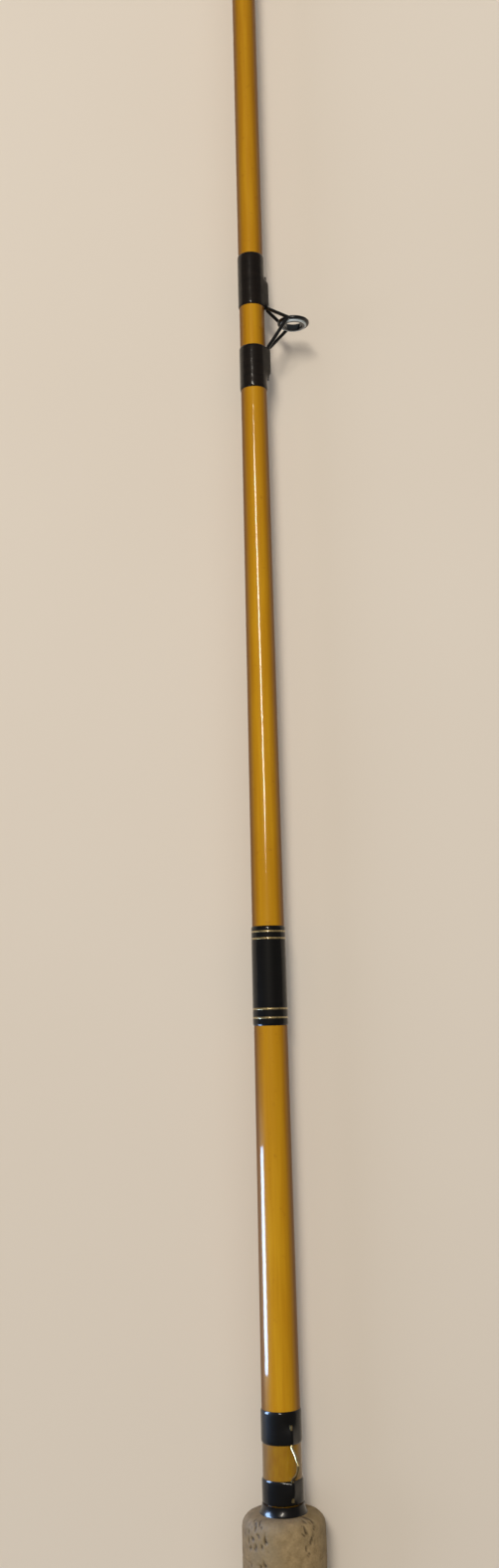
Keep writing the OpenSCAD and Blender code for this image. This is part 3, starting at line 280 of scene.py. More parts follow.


# %% [markdown]
# ## Varnished glass fibre
# The blank is glass cloth rolled on a steel mandrel in ochre-tinted polyester resin, then dipped in
# clear varnish. Where the surface turns edge-on to the view, its colour is painted a deeper, redder
# brown: a painted shade along both edges, and the clear coat is made thinner there. The tape that
# squeezed the cloth leaves faint rings, which only break up reflections. The colour drifts slowly
# along the rod, with fine lengthwise streaks.

# %% Fibreglass finish
fibreglass = new_finish("varnished_glass_fibre")
along = place(fibreglass, (1, 0.04, 1))
streaks = add(fibreglass, "TexNoise", {"Vector": along, "Scale": per_mm(1.2), "Detail": 4.0})
drift = add(fibreglass, "TexNoise", {"Vector": place(fibreglass), "Scale": per_mm(60),
                                     "Detail": 2.0})
mottle = add(fibreglass, "TexNoise", {"Vector": place(fibreglass), "Scale": per_mm(2.5),
                                      "Detail": 5.0})
ochre = blend_colours(fibreglass, between(fibreglass, streaks.outputs["Fac"], 0.35, 0.65),
                      linear("#b98f10"), linear("#c49e1a"))
ochre = blend_colours(fibreglass, between(fibreglass, drift.outputs["Fac"], 0.4, 0.65, 0, 0.6),
                      ochre, linear("#b0860c"))
ochre = blend_colours(fibreglass, between(fibreglass, mottle.outputs["Fac"], 0.62, 0.8, 0, 0.5),
                      ochre, linear("#9a6a10"))
# Painted shade: this facing mask darkens the colour to deep brown where the surface turns edge-on, and
# the same mask thins the clear coat there
edge = add(fibreglass, "LayerWeight", {"Blend": 0.5}).outputs["Facing"]
ochre = blend_colours(fibreglass, between(fibreglass, edge, 0.1, 0.55, 0, 0.9), ochre,
                      linear("#6b3f08"))
tape = add(fibreglass, "TexWave", {"Vector": place(fibreglass), "Scale": per_mm(1.6) / WAVE,
                                   "Distortion": 1.2, "Detail": 2.0, "Detail Scale": 1.5},
           bands_direction="Y", wave_profile="SIN")
tape_lines = add(fibreglass, "Bump", {"Height": tape.outputs["Fac"], "Strength": 0.12,
                                      "Distance": 0.02 * MM})
ripple = add(fibreglass, "Bump", {"Height": mottle.outputs["Fac"], "Strength": 0.2,
                                  "Distance": 0.05 * MM, "Normal": tape_lines.outputs["Normal"]})
close_finish(fibreglass, Base_Color=ochre, Roughness=0.42, IOR=1.52,
             Coat_Weight=between(fibreglass, edge, 0.25, 0.6, 1, 0.3),
             Coat_Roughness=0.06, Coat_IOR=1.36, Coat_Tint=linear("#fbe9c4"),
             Specular_IOR_Level=0.12,
             Normal=ripple.outputs["Normal"], Coat_Normal=ripple.outputs["Normal"])

# %% [markdown]
# ## Thread under epoxy
# A wrap is nylon thread wound tight, one turn beside the next, and brushed with epoxy while the
# rod turns. The epoxy levels out, so only a faint rib of each turn is left. Real turns are 0.15 mm
# apart; they are drawn 0.3 mm apart so that they show at all.

# %% Thread finishes
def thread_finish(name, dark, light, coat_roughness, roughness):
    finish = new_finish(name)
    turns = add(finish, "TexWave", {"Vector": place(finish), "Scale": per_mm(0.3) / WAVE,
                                    "Distortion": 0.4, "Detail": 1.0}, bands_direction="Y")
    packing = add(finish, "TexNoise", {"Vector": place(finish, (0.15, 1, 0.15)),
                                       "Scale": per_mm(1.5), "Detail": 3.0})
    colour = blend_colours(finish, between(finish, packing.outputs["Fac"], 0.35, 0.7),
                           linear(dark), linear(light))
    colour = blend_colours(finish, between(finish, turns.outputs["Fac"], 0, 1, 0, 0.35), colour,
                           linear(light))
    pool = add(finish, "TexNoise", {"Vector": place(finish), "Scale": per_mm(3), "Detail": 1.0})
    ribs = add(finish, "Bump", {"Height": turns.outputs["Fac"], "Strength": 0.25,
                                "Distance": 0.03 * MM})
    level = add(finish, "Bump", {"Height": pool.outputs["Fac"], "Strength": 0.35,
                                 "Distance": 0.25 * MM})
    return close_finish(finish, Base_Color=colour, Roughness=roughness, Specular_IOR_Level=0.08,
                        Coat_Weight=1.0, Coat_Roughness=coat_roughness, Coat_IOR=1.33,
                        Normal=ribs.outputs["Normal"], Coat_Normal=level.outputs["Normal"])


black_thread = thread_finish("black_thread_in_gloss_epoxy", "#030302", "#090706", 0.05, 0.5)
brown_thread = thread_finish("brown_black_thread_in_varnish", "#090503", "#160e08", 0.16, 0.55)

# %% [markdown]
# ## Epoxy bead
# The epoxy runs a little past the thread and ends in a rounded bead on the blank. The bead is
# clear, so it takes the colour of the blank under it and catches a sharp light.

# %% Epoxy bead and gold thread
bead = new_finish("clear_epoxy_on_the_blank")
thickness = add(bead, "TexNoise", {"Vector": place(bead), "Scale": per_mm(2), "Detail": 2.0})
honey = blend_colours(bead, between(bead, thickness.outputs["Fac"], 0.35, 0.65),
                      linear("#a9780f"), linear("#bd8a1c"))
uneven = add(bead, "Bump", {"Height": thickness.outputs["Fac"], "Strength": 0.3,
                            "Distance": 0.1 * MM})
close_finish(bead, Base_Color=honey, Roughness=0.3, Coat_Weight=1.0, Coat_Roughness=0.03,
             Coat_IOR=1.5, Coat_Tint=linear("#f4d08c"), Normal=uneven.outputs["Normal"],
             Coat_Normal=uneven.outputs["Normal"])

coat_film = new_finish("thin_aged_epoxy_film")
film = add(coat_film, "TexNoise", {"Vector": place(coat_film, (1, 0.3, 1)),
                                   "Scale": per_mm(1.5), "Detail": 3.0})
film_edge_shade_mask = add(coat_film, "LayerWeight", {"Blend": 0.5}).outputs["Facing"]
aged = blend_colours(coat_film, between(coat_film, film.outputs["Fac"], 0.35, 0.65),
                     linear("#8f660c"), linear("#99720f"))
# Painted shade: where the surface turns edge-on, the film's colour is dulled to a darker brown
aged = blend_colours(coat_film, between(coat_film, film_edge_shade_mask, 0.15, 0.6, 0, 0.8), aged,
                     linear("#6d532c"))
film_waves = add(coat_film, "Bump", {"Height": film.outputs["Fac"], "Strength": 0.3,
                                     "Distance": 0.08 * MM})
close_finish(coat_film, Base_Color=aged, Roughness=0.4, Coat_Weight=1.0, Coat_Roughness=0.04,
             Coat_IOR=1.38, Specular_IOR_Level=0.15, Coat_Normal=film_waves.outputs["Normal"])

gold_thread = new_finish("metallic_gold_thread")
twist = add(gold_thread, "TexNoise", {"Vector": place(gold_thread), "Scale": per_mm(0.5),
                                      "Detail": 3.0})
gilt = blend_colours(gold_thread, between(gold_thread, twist.outputs["Fac"], 0.35, 0.65),
                     linear("#7d6a41"), linear("#b39f6e"))
strands = add(gold_thread, "Bump", {"Height": twist.outputs["Fac"], "Strength": 0.3,
                                    "Distance": 0.05 * MM})
close_finish(gold_thread, Base_Color=gilt, Metallic=0.6, Roughness=0.35, Coat_Weight=1.0,
             Coat_Roughness=0.05, Normal=strands.outputs["Normal"])

# %% [markdown]
# ## Cork
# Grip cork is sanded bark. It is full of dark pits where the bark's pores ran, with cracks that a
# dry old grip opens along the rod, and handling greys and browns it. Deep pits are cut in the mesh
# further down; the finish adds the colour of pits, cracks and grain.

# %% Cork finish
cork = new_finish("aged_sanded_cork")
grain = add(cork, "TexNoise", {"Vector": place(cork), "Scale": per_mm(3.2), "Detail": 8.0,
                               "Roughness": 0.65})
patches = add(cork, "TexNoise", {"Vector": place(cork, (1, 0.6, 1)), "Scale": per_mm(14),
                                 "Detail": 3.0})
cells = add(cork, "TexVoronoi", {"Vector": place(cork), "Scale": per_mm(0.9)}, feature="F1")
pores = add(cork, "TexVoronoi", {"Vector": place(cork, (1, 0.55, 1)), "Scale": per_mm(3.4),
                                 "Randomness": 1.0}, feature="F1")
cracks = add(cork, "TexNoise", {"Vector": place(cork, (1, 0.22, 1), (0.003, 0, 0)),
                                "Scale": per_mm(2.2), "Detail": 6.0, "Roughness": 0.7})
tan = blend_colours(cork, between(cork, grain.outputs["Fac"], 0.35, 0.65), linear("#857150"),
                    linear("#a48e69"))
tan = blend_colours(cork, between(cork, patches.outputs["Fac"], 0.45, 0.65, 0, 0.55), tan,
                    linear("#7f745c"))
tan = blend_colours(cork, between(cork, cells.outputs["Distance"], 0.0, 0.9, 0.25, 0), tan,
                    linear("#6d5a3c"))
cut = add(cork, "Attribute", attribute_name="pit").outputs["Fac"]
small_pit = between(cork, pores.outputs["Distance"], 0.03, 0.09, 0.6, 0)
pit = add(cork, "Math", {0: cut, 1: small_pit}, operation="MAXIMUM").outputs[0]
split = between(cork, cracks.outputs["Fac"], 0.67, 0.74, 0, 0.8)
tan = blend_colours(cork, pit, tan, linear("#2e2110"))
tan = blend_colours(cork, split, tan, linear("#33230f"))
rough = add(cork, "Bump", {"Height": grain.outputs["Fac"], "Strength": 0.5, "Distance": 0.25 * MM})
holes = add(cork, "Bump", {"Height": pit, "Strength": 0.7, "Distance": 0.3 * MM,
                           "Normal": rough.outputs["Normal"]}, invert=True)
close_finish(cork, Base_Color=tan, Roughness=0.78, Specular_IOR_Level=0.3,
             Normal=holes.outputs["Normal"])

# %% [markdown]
# ## Anodised aluminium
# The reel frame, the spool and the seat are turned from aluminium bar and anodised black. The
# lathe leaves rings that the dye doesn't hide, and the places that are handled wear paler. The
# rings are drawn round the reel's own spindle, which is the world's Z axis.

# %% Metals
def metal_finish(name, colour, worn, roughness, metallic=1.0, grain_mm=0.5, lines=0.3,
                 direction=None, wear=0.0, coat=0.0):
    """A metal with tool marks: rings round the spindle, bands along an axis, or an even grain"""
    finish = new_finish(name)
    speckle = add(finish, "TexNoise", {"Vector": place(finish), "Scale": per_mm(4), "Detail": 5.0})
    if direction == "rings":
        marks = add(finish, "TexWave", {"Vector": place(finish), "Scale": per_mm(grain_mm) / WAVE,
                                        "Distortion": 0.3}, wave_type="RINGS", rings_direction="Z")
    elif direction:
        marks = add(finish, "TexWave", {"Vector": place(finish), "Scale": per_mm(grain_mm) / WAVE,
                                        "Distortion": 0.3}, bands_direction=direction)
    else:
        marks = add(finish, "TexNoise", {"Vector": place(finish), "Scale": per_mm(grain_mm)})
    shade = blend_colours(finish, between(finish, speckle.outputs["Fac"], 0.3, 0.75, 0, 0.6),
                          linear(colour), linear(worn))
    if wear:
        handled = add(finish, "TexNoise", {"Vector": place(finish), "Scale": per_mm(7),
                                           "Detail": 8.0, "Roughness": 0.7})
        rub = between(finish, handled.outputs["Fac"], 0.6, 0.72, 0, wear)
        shade = blend_colours(finish, rub, shade, linear("#5a5b5e"))
    bump = add(finish, "Bump", {"Height": marks.outputs["Fac"], "Strength": lines,
                                "Distance": 0.02 * MM})
    return close_finish(finish, Base_Color=shade, Metallic=metallic, Roughness=roughness,
                        Coat_Weight=coat, Coat_Roughness=0.1, Normal=bump.outputs["Normal"])


finishes = {
    "reel_black": metal_finish("black_anodised_turned_aluminium", "#1b1b1d", "#29292b", 0.36,
                               direction="rings", wear=0.25, metallic=0.75),
    "spool_black": metal_finish("black_anodised_spool", "#202022", "#303033", 0.3,
                                direction="rings", wear=0.35, metallic=0.8),
    "seat_metal": metal_finish("black_anodised_seat", "#1a191a", "#2a2928", 0.34, direction="Y",
                               wear=0.3, metallic=0.75),
    "screw_steel": metal_finish("nickelled_steel_screws", "#8f8f90", "#a9a9aa", 0.3),
    "steel": metal_finish("ground_stainless_steel", "#a2a4a6", "#b7b8ba", 0.26, direction="Z"),
    "guard_chrome": metal_finish("chromed_brass", "#c6c8cb", "#d2d3d5", 0.08, lines=0.08),
    "bronze": metal_finish("machined_bronze", "#8f6b36", "#b08a4c", 0.32, direction="rings"),
    "spring_steel": metal_finish("blued_spring_steel", "#4b5060", "#6b6f78", 0.3),
    "guide_frame": metal_finish("black_plated_wire", "#08090b", "#16171a", 0.28, metallic=0.5,
                                coat=0.5),
    "snake_wire": metal_finish("hard_chromed_wire", "#9a9ca0", "#b4b6b9", 0.16, lines=0.1),
    "keeper_wire": metal_finish("tarnished_brass_wire", "#94815a", "#b3a275", 0.3, grain_mm=0.3),
}

# %% [markdown]
# ## Mouldings, wood and ceramic
# The small moulded and turned parts: a nylon shock ring, a polished ceramic ring, a black check,
# a rubber cap, a resin handle, and the cork-and-fibre arbors that hide in the seat.

# %% Plastics, rubber and ceramic
def moulding_finish(name, colour, other, roughness, coat=0.0, grain_mm=1.5, depth=0.03,
                    sheen=0.0, ior=1.5):
    finish = new_finish(name)
    skin = add(finish, "TexNoise", {"Vector": place(finish), "Scale": per_mm(grain_mm),
                                    "Detail": 4.0})
    shade = blend_colours(finish, between(finish, skin.outputs["Fac"], 0.35, 0.7), linear(colour),
                          linear(other))
    bump = add(finish, "Bump", {"Height": skin.outputs["Fac"], "Strength": 0.3,
                                "Distance": depth * MM})
    return close_finish(finish, Base_Color=shade, Roughness=roughness, IOR=ior, Coat_Weight=coat,
                        Coat_Roughness=0.06, Coat_IOR=ior, Sheen_Weight=sheen,
                        Normal=bump.outputs["Normal"])


finishes.update({
    "fibreglass": fibreglass, "black_wrap": black_thread, "brown_wrap": brown_thread,
    "gold_band": gold_thread, "cork": cork,
    "check": moulding_finish("black_moulded_check", "#050404", "#0b0908", 0.3, coat=0.5, ior=1.33),
    "shock_ring": moulding_finish("pale_nylon_shock_ring", "#bfcbd2", "#d3dce0", 0.3, coat=0.5),
    "ceramic": moulding_finish("polished_dark_ceramic", "#141a20", "#1c242c", 0.08, coat=1.0,
                               depth=0.005),
    "rubber": moulding_finish("moulded_rubber", "#131313", "#1d1d1c", 0.65, grain_mm=0.6,
                              depth=0.06, sheen=0.2),
    "knob_black": moulding_finish("turned_black_resin", "#0d0b0a", "#181514", 0.22, coat=0.8,
                                  grain_mm=3),
    "arbor": moulding_finish("cork_and_fibre_arbor", "#7d5f3a", "#99794d", 0.8, depth=0.2),
    "spigot": moulding_finish("ground_glass_fibre", "#b9a777", "#cbbb8d", 0.38, coat=0.3,
                              grain_mm=0.8),
})
node_slots = {part["node"]: part["material_slot"] for part in frame["record"]["subparts"]}
node_body = {node: body for body, nodes in frame["record"]["behaviour"]["bodies"].items()
             for node in nodes}
for node, piece in frame["nodes"].items():
    for holder in piece.material_slots:
        holder.material = finishes[node_slots[node]]
print("finishes:", len(finishes), "on", len(node_slots), "parts")


def fit(piece, node, materials=None):
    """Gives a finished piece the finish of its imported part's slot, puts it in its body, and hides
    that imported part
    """
    piece.data.materials.clear()
    for finish in materials or [finishes[node_slots[node]]]:
        piece.data.materials.append(finish)
    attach(piece, node_body[node])
    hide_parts(node)
    print(piece.name, len(piece.data.polygons), "faces")
    return piece


# %% [markdown]
# ## The two blanks
# A blank is one long taper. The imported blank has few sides, which would show as flats, so its rings
# are turned again with 96 sides. The outline goes out along the surface and back along the bore.

# %% Blanks
def fine_blank(name, node, knots):
    outer = [(y, high) for y, _, high in knots]
    inner = [(y, low) for y, low, high in knots if high - low > 0.2 * MM]
    piece = turn(name, outer + inner[::-1])
    smooth(piece, 30)
    return fit(piece, node)


fine_blank("butt_section_blank", "butt_blank", butt_knots)
fine_blank("tip_section_blank", "tip_blank", tip_knots)

# %% [markdown]
# ## The winding check
# It flares like a trumpet towards the cork, so its outline is a curve with a small rounded
# rim at the cork.

# %% Winding check
check_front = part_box("winding_check")[1].y
CHECK_WALL, CHECK_LIP = 1.3 * MM, 0.4 * MM
check_bore = rod_r(grip_y) + 0.03 * MM
flare = [(grip_y + f * (check_front - grip_y),
          check_bore + CHECK_LIP + (CHECK_WALL - CHECK_LIP) * (1 - f) ** 2.2)
         for f in (0.1, 0.18, 0.28, 0.4, 0.52, 0.64, 0.76, 0.88, 0.97)]
rim = [(grip_y, check_bore + CHECK_WALL - 0.25 * MM), (grip_y + 0.08 * MM, check_bore + CHECK_WALL)]
check = turn("black_winding_check", [(grip_y, check_bore)] + rim + flare
             + [(check_front, check_bore + 0.15 * MM), (check_front, check_bore)])
smooth(check, 50)
fit(check, "winding_check")

# %% [markdown]
# ## Thread wraps
# A wrap is turned like the rest, with a bead of epoxy at each end. Where it binds a guide's foot,
# the tight thread bridges from the foot down to the blank, so the wrap's section is the outline
# that a band stretched round the blank and the foot would take. The vertices on that side are
# moved out to it, and they rise gently over the foot's ground end.

# %% Wrap shapes
WRAP_WALL = 0.35 * MM
BEAD = 0.9 * MM


def stretched_band(blank_r, foot_at, foot_r, angle):
    """Radius at an angle from the foot of a band stretched round the blank and a round foot"""
    angle = abs(angle)
    tangent = math.acos(max(-1, min(1, (blank_r - foot_r) / foot_at)))
    leaves_foot = math.atan2(foot_r * math.sin(tangent), foot_at + foot_r * math.cos(tangent))
    if angle >= tangent:
        return blank_r
    if angle > leaves_foot:
        return blank_r / math.cos(tangent - angle)
    across = foot_at * math.sin(angle)
    return foot_at * math.cos(angle) + math.sqrt(max(0, foot_r ** 2 - across ** 2))


def soft_step(value):
    value = max(0, min(1, value))
    return value * value * (3 - 2 * value)


def thread_wrap(name, y0, y1, foot=None, steps=96, beads=(True, True)):
    """A wrap from y0 to y1. foot gives the foot's two ends, height over the blank, radius, angle."""
    rise = [(0.0, 0.03), (0.1, 0.12), (0.25, 0.2), (0.45, 0.27), (0.7, 0.325), (1.0, 0.35)]
    count = max(2, round((y1 - y0 - 2 * BEAD) / MM))
    outer = [(y0 + f * BEAD, rod_r(y0) + lift * MM) for f, lift in rise]
    outer += [(y, rod_r(y) + WRAP_WALL) for y in
              [y0 + BEAD + (y1 - y0 - 2 * BEAD) * k / count for k in range(1, count)]]
    outer += [(y1 - f * BEAD, rod_r(y1) + lift * MM) for f, lift in rise[::-1]]
    piece = turn(name, outer + [(y1, rod_r(y1) + 0.01 * MM), (y0, rod_r(y0) + 0.01 * MM)], steps)
    if foot:
        far, near, height, foot_r, turned = foot
        for vertex in piece.data.vertices:
            x, z = vertex.co.x - AXIS_X, vertex.co.z - AXIS_Z
            radius, angle = math.hypot(x, z), math.atan2(z, x) - turned
            blank_r = rod_r(vertex.co.y)
            lift = radius - blank_r
            if lift < 0.02 * MM:
                continue
            band = stretched_band(blank_r, blank_r + height, foot_r, angle) - blank_r
            climb = soft_step((vertex.co.y - far) / (near - far) * abs(near - far) / (3.5 * MM))
            thin = lift / WRAP_WALL
            scale = 1 + band * climb * max(0, min(1, 0.25 + thin * 0.75)) / radius
            vertex.co.x, vertex.co.z = AXIS_X + x * scale, AXIS_Z + z * scale
    smooth(piece, 60)
    ends = 0.5 * MM
    piece.data.materials.clear()
    for finish in (black_thread, bead):
        piece.data.materials.append(finish)
    for face in piece.data.polygons:
        at_end = ((beads[0] and face.center.y < y0 + ends)
                  or (beads[1] and face.center.y > y1 - ends))
        face.material_index = 1 if at_end else 0
    return piece


def bound(name, node, wraps, thread):
    """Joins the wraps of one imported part"""
    return fit(joined(wraps, name), node, [thread, bead])


# %% [markdown]
# ## Wraps in front of the grip
# Two black wraps hold the hook keeper's feet, and the bare blank between them wears a thin coat of
# the same epoxy. Two brown-black wraps hold the stripping guide.

# %% Wraps of the butt section
keeper_low, keeper_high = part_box("hook_keeper")
keeper_wraps_low, keeper_wraps_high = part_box("keeper_wraps")
KEEPER_FOOT, KEEPER_ANGLE, KEEPER_WIRE = 6.4 * MM, math.radians(65), 0.5 * MM
keeper_rear, keeper_front = keeper_low.y + KEEPER_FOOT, keeper_high.y - KEEPER_FOOT
COAT_LIFT = 0.04 * MM
COAT_UNDER, COAT_LAP = 0.01 * MM, 0.3 * MM
epoxy_coat = turn("keeper_epoxy_coat", [
    (keeper_rear - COAT_LAP, rod_r(keeper_rear) + COAT_UNDER),
    (keeper_rear - COAT_LAP, rod_r(keeper_rear) + COAT_LIFT),
    (keeper_front + COAT_LAP, rod_r(keeper_front) + COAT_LIFT),
    (keeper_front + COAT_LAP, rod_r(keeper_front) + COAT_UNDER)])
smooth(epoxy_coat, 30)
fit(epoxy_coat, "keeper_wraps", [coat_film])
bound("keeper_thread_wraps", "keeper_wraps", [
    thread_wrap("keeper_wrap_rear", keeper_wraps_low.y, keeper_rear,
                (keeper_low.y - 0.6 * MM, keeper_rear, 0.55 * MM, 0.62 * MM, KEEPER_ANGLE),
                beads=(False, True)),
    thread_wrap("keeper_wrap_front", keeper_front, keeper_wraps_high.y,
                (keeper_high.y + 0.6 * MM, keeper_front, 0.55 * MM, 0.62 * MM, KEEPER_ANGLE)),
], black_thread)

strip_gaps, strip_wraps = (9.9 * MM, 6.2 * MM), (17 * MM, 21.1 * MM)
strip_edges = (STRIP_Y - strip_gaps[0], STRIP_Y + strip_gaps[1])
STRIP_FOOT = 13 * MM
bound("stripping_guide_thread_wraps", "stripping_guide_wraps", [
    thread_wrap("strip_wrap_rear", strip_edges[0] - strip_wraps[0], strip_edges[0],
                (strip_edges[0] - STRIP_FOOT, strip_edges[0], 0.35 * MM, 1.1 * MM, 0)),
    thread_wrap("strip_wrap_front", strip_edges[1], strip_edges[1] + strip_wraps[1],
                (strip_edges[1] + STRIP_FOOT, strip_edges[1], 0.35 * MM, 1.1 * MM, 0)),
], brown_thread)

# %% [markdown]
# ## The decorative wrap
# A plain black wrap with two gold lines near each end. The gold is a metallic thread of four turns,
# wound in with the black, so the lines stand only a few hundredths of a millimetre proud.

# %% Decorative wrap and its gold lines
bound("decorative_thread_wrap", "trim_wrap", [thread_wrap("trim", trim_low, trim_high)],
      black_thread)
band_starts = []
for vertex in frame["nodes"]["trim_bands"].data.vertices:
    if all(abs(vertex.co.y - start) > 1 * MM for start in band_starts):
        band_starts.append(vertex.co.y)
bands = []
for start in sorted(band_starts):
    across = [v.co.y for v in frame["nodes"]["trim_bands"].data.vertices
              if abs(v.co.y - start) < 1 * MM]
    low, high = min(across), max(across)
    outline = [(low, WRAP_WALL - 0.1 * MM), (low, WRAP_WALL + 0.01 * MM)]
    for turn_of_thread in range(2):
        outline += [(low + (high - low) * (turn_of_thread + f) / 2, WRAP_WALL + lift * MM)
                    for f, lift in ((0.2, 0.04), (0.5, 0.06), (0.8, 0.04))]
    outline += [(high, WRAP_WALL + 0.01 * MM), (high, WRAP_WALL - 0.1 * MM)]
    bands.append(turn("gold_line", [(y, rod_r(y) + lift) for y, lift in outline]))
gold_lines = joined(bands, "gold_thread_lines")
smooth(gold_lines, 60)
fit(gold_lines, "trim_bands")
print("gold lines:", len(bands))

# %% [markdown]
# ## The hook keeper
# One brass-coloured wire: its two flat feet go under the wraps, and between them it rises to a
# round loop that the hook hangs in. A curve through a few points, given a round bevel, is a wire.

# %% Hook keeper
low = rod_r(keeper_rear) + KEEPER_WIRE + 0.08 * MM
KEEPER_HEIGHT, KEEPER_BEND = 5.8 * MM, 0.4 * MM
keeper_mid = (keeper_rear + keeper_front) / 2
keeper_half = (keeper_front - keeper_rear) / 2 - KEEPER_BEND - 0.1 * MM
rise = rod_r(keeper_mid) + KEEPER_HEIGHT - KEEPER_WIRE - low
loop = [(low + rise * (1 - abs(k / 12) ** 1.9), keeper_mid + k / 12 * keeper_half)
        for k in range(-11, 12)]
feet = [(low, keeper_low.y + 0.1 * MM), (low, keeper_rear - 1.5 * MM),
        (low, keeper_rear - 0.2 * MM)]
mirror_feet = [(low, 2 * keeper_mid - y) for _, y in feet[::-1]]
keeper = wire("hook_keeper_wire", [
    (AXIS_X + r * math.cos(KEEPER_ANGLE), y, AXIS_Z + r * math.sin(KEEPER_ANGLE))
    for r, y in feet + loop + mirror_feet], KEEPER_WIRE)
fit(keeper, "hook_keeper")

# %% [markdown]
# ## The stripping guide
# Two bent wires make four legs, brazed to the outside of a wire ring. The legs' ends are ground
# flat for feet. The nylon shock ring snaps into the wire ring and holds the ceramic one.

# %% Stripping guide
GUIDE_WIRE, GUIDE_RING = 0.65 * MM, 5.35 * MM
ring_at = Vector(((strip_ring_low.x + strip_ring_high.x) / 2, STRIP_Y, AXIS_Z))
nothing_selected()
bpy.ops.mesh.primitive_torus_add(major_segments=96, minor_segments=20, major_radius=GUIDE_RING,
                                 minor_radius=GUIDE_WIRE, location=ring_at,
                                 rotation=(math.pi / 2, 0, 0))
guide_pieces = [bpy.context.object]
bpy.ops.object.transform_apply(location=True, rotation=True, scale=True)
smooth(guide_pieces[0], 180)
r0 = rod_r(STRIP_Y)
leg_low = r0 + 0.75 * MM
LEG_ANGLE, leg_end = math.radians(112), GUIDE_RING + 0.45 * MM
end_x = ring_at.x - AXIS_X + leg_end * math.cos(LEG_ANGLE)
end_z = leg_end * math.sin(LEG_ANGLE)
for side in (-1, 1):
    for gap, way in ((-strip_gaps[0], -1), (strip_gaps[1], 1)):
        bent = Vector((leg_low + 1 * MM, gap - way * 0.9 * MM, 1.4 * MM * side))
        top = Vector((end_x, 0, end_z * side))
        leg = [(leg_low, gap + way * 2 * MM, 0.3 * MM * side),
               (leg_low + 0.1 * MM, gap, 0.8 * MM * side),
               bent, bent.lerp(top, 0.3), bent.lerp(top, 0.7), top]
        guide_pieces.append(wire("leg", [(AXIS_X + x, STRIP_Y + y, AXIS_Z + z) for x, y, z in leg],
                                 GUIDE_WIRE))
for edge, way in ((strip_edges[0], -1), (strip_edges[1], 1)):
    foot_line = AXIS_X + rod_r(edge + way * STRIP_FOOT / 2) + 0.72 * MM
    outline = [(edge + way * STRIP_FOOT, 0.0), (edge + way * (STRIP_FOOT - 0.2 * MM), 0.25 * MM),
               (edge + way * (STRIP_FOOT - 4 * MM), 0.66 * MM), (edge - way * 0.2 * MM, 0.66 * MM),
               (edge - way * 0.4 * MM, 0.0)]
    guide_pieces.append(turn("foot", outline, 24, closed=False, centre=(foot_line, AXIS_Z)))
guide = joined(guide_pieces, "stripping_guide_wire_frame")
fit(guide, "stripping_guide_frame")

# %% [markdown]
# ## Snake guides
# Each is one hard-chromed wire: a foot, one turn of a wide screw for the line to run through, and
# another foot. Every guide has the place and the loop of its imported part, and smooth round wire.

# %% Snake guides and their wraps
SNAKE_WIRE, SNAKE_FOOT, SNAKE_LOOP = 0.5 * MM, 8 * MM, 11 * MM


def snake_wire_points(node):
    low_corner, high_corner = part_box(node)
    middle = (low_corner.y + high_corner.y) / 2
    surface = rod_r(middle) + SNAKE_WIRE + 0.09 * MM
    loop_r = (high_corner.x - AXIS_X - surface - SNAKE_WIRE) / 2
    points = [(surface, -SNAKE_LOOP / 2 - SNAKE_FOOT, 0),
              (surface, -SNAKE_LOOP / 2 - SNAKE_FOOT / 2, 0)]
    for k in range(29):
        f = k / 28
        angle = math.tau * f * f * (3 - 2 * f)
        points.append((surface + loop_r * (1 - math.cos(angle)), (f - 0.5) * SNAKE_LOOP,
                       loop_r * math.sin(angle)))
    points += [(surface, SNAKE_LOOP / 2 + SNAKE_FOOT / 2, 0),
               (surface, SNAKE_LOOP / 2 + SNAKE_FOOT, 0)]
    return [(AXIS_X + x, middle + y, AXIS_Z + z) for x, y, z in points]


section_wraps = {"rod": [], "tip_section": []}
for node in sorted(n for n in frame["nodes"] if n.startswith("snake_guide_")):
    guide = wire(node + "_wire", snake_wire_points(node), SNAKE_WIRE)
    fit(guide, node)
    low_corner, high_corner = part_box(node)
    middle = (low_corner.y + high_corner.y) / 2
    for way in (-1, 1):
        inner, outer = middle + way * (SNAKE_LOOP / 2 + 0.6 * MM), middle + way * (
            SNAKE_LOOP / 2 + SNAKE_FOOT + 2 * MM)
        foot = (middle + way * (SNAKE_LOOP / 2 + SNAKE_FOOT + 0.5 * MM), inner, 0.6 * MM, 0.62 * MM, 0)
        section_wraps[node_body[node]].append(
            thread_wrap("snake_wrap", min(inner, outer), max(inner, outer), foot, 64))

# %% [markdown]
# ## Ferrule and tip
# The two sections meet on a spigot. Each side of the joint is bound, so that it can't split. The
# last wrap runs up to the tube of the tip ring.

# %% Ferrule wraps, tip wrap and tip ring
FERRULE_WRAP = 26 * MM
section_wraps["rod"].append(thread_wrap("ferrule_wrap", butt_ends[1] - FERRULE_WRAP,
                                        butt_ends[1] - 0.5 * MM))
section_wraps["tip_section"].append(thread_wrap("ferrule_wrap", tip_ends[0] + 0.5 * MM,
                                                tip_ends[0] + FERRULE_WRAP))
tube_low, tube_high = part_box("tip_tube")
section_wraps["tip_section"].append(thread_wrap("tip_wrap", tube_low.y - 16 * MM,
                                                tube_low.y - 0.2 * MM))
bound("butt_section_thread_wraps", "butt_guide_wraps", section_wraps["rod"], brown_thread)
bound("tip_section_thread_wraps", "tip_guide_wraps", section_wraps["tip_section"], brown_thread)

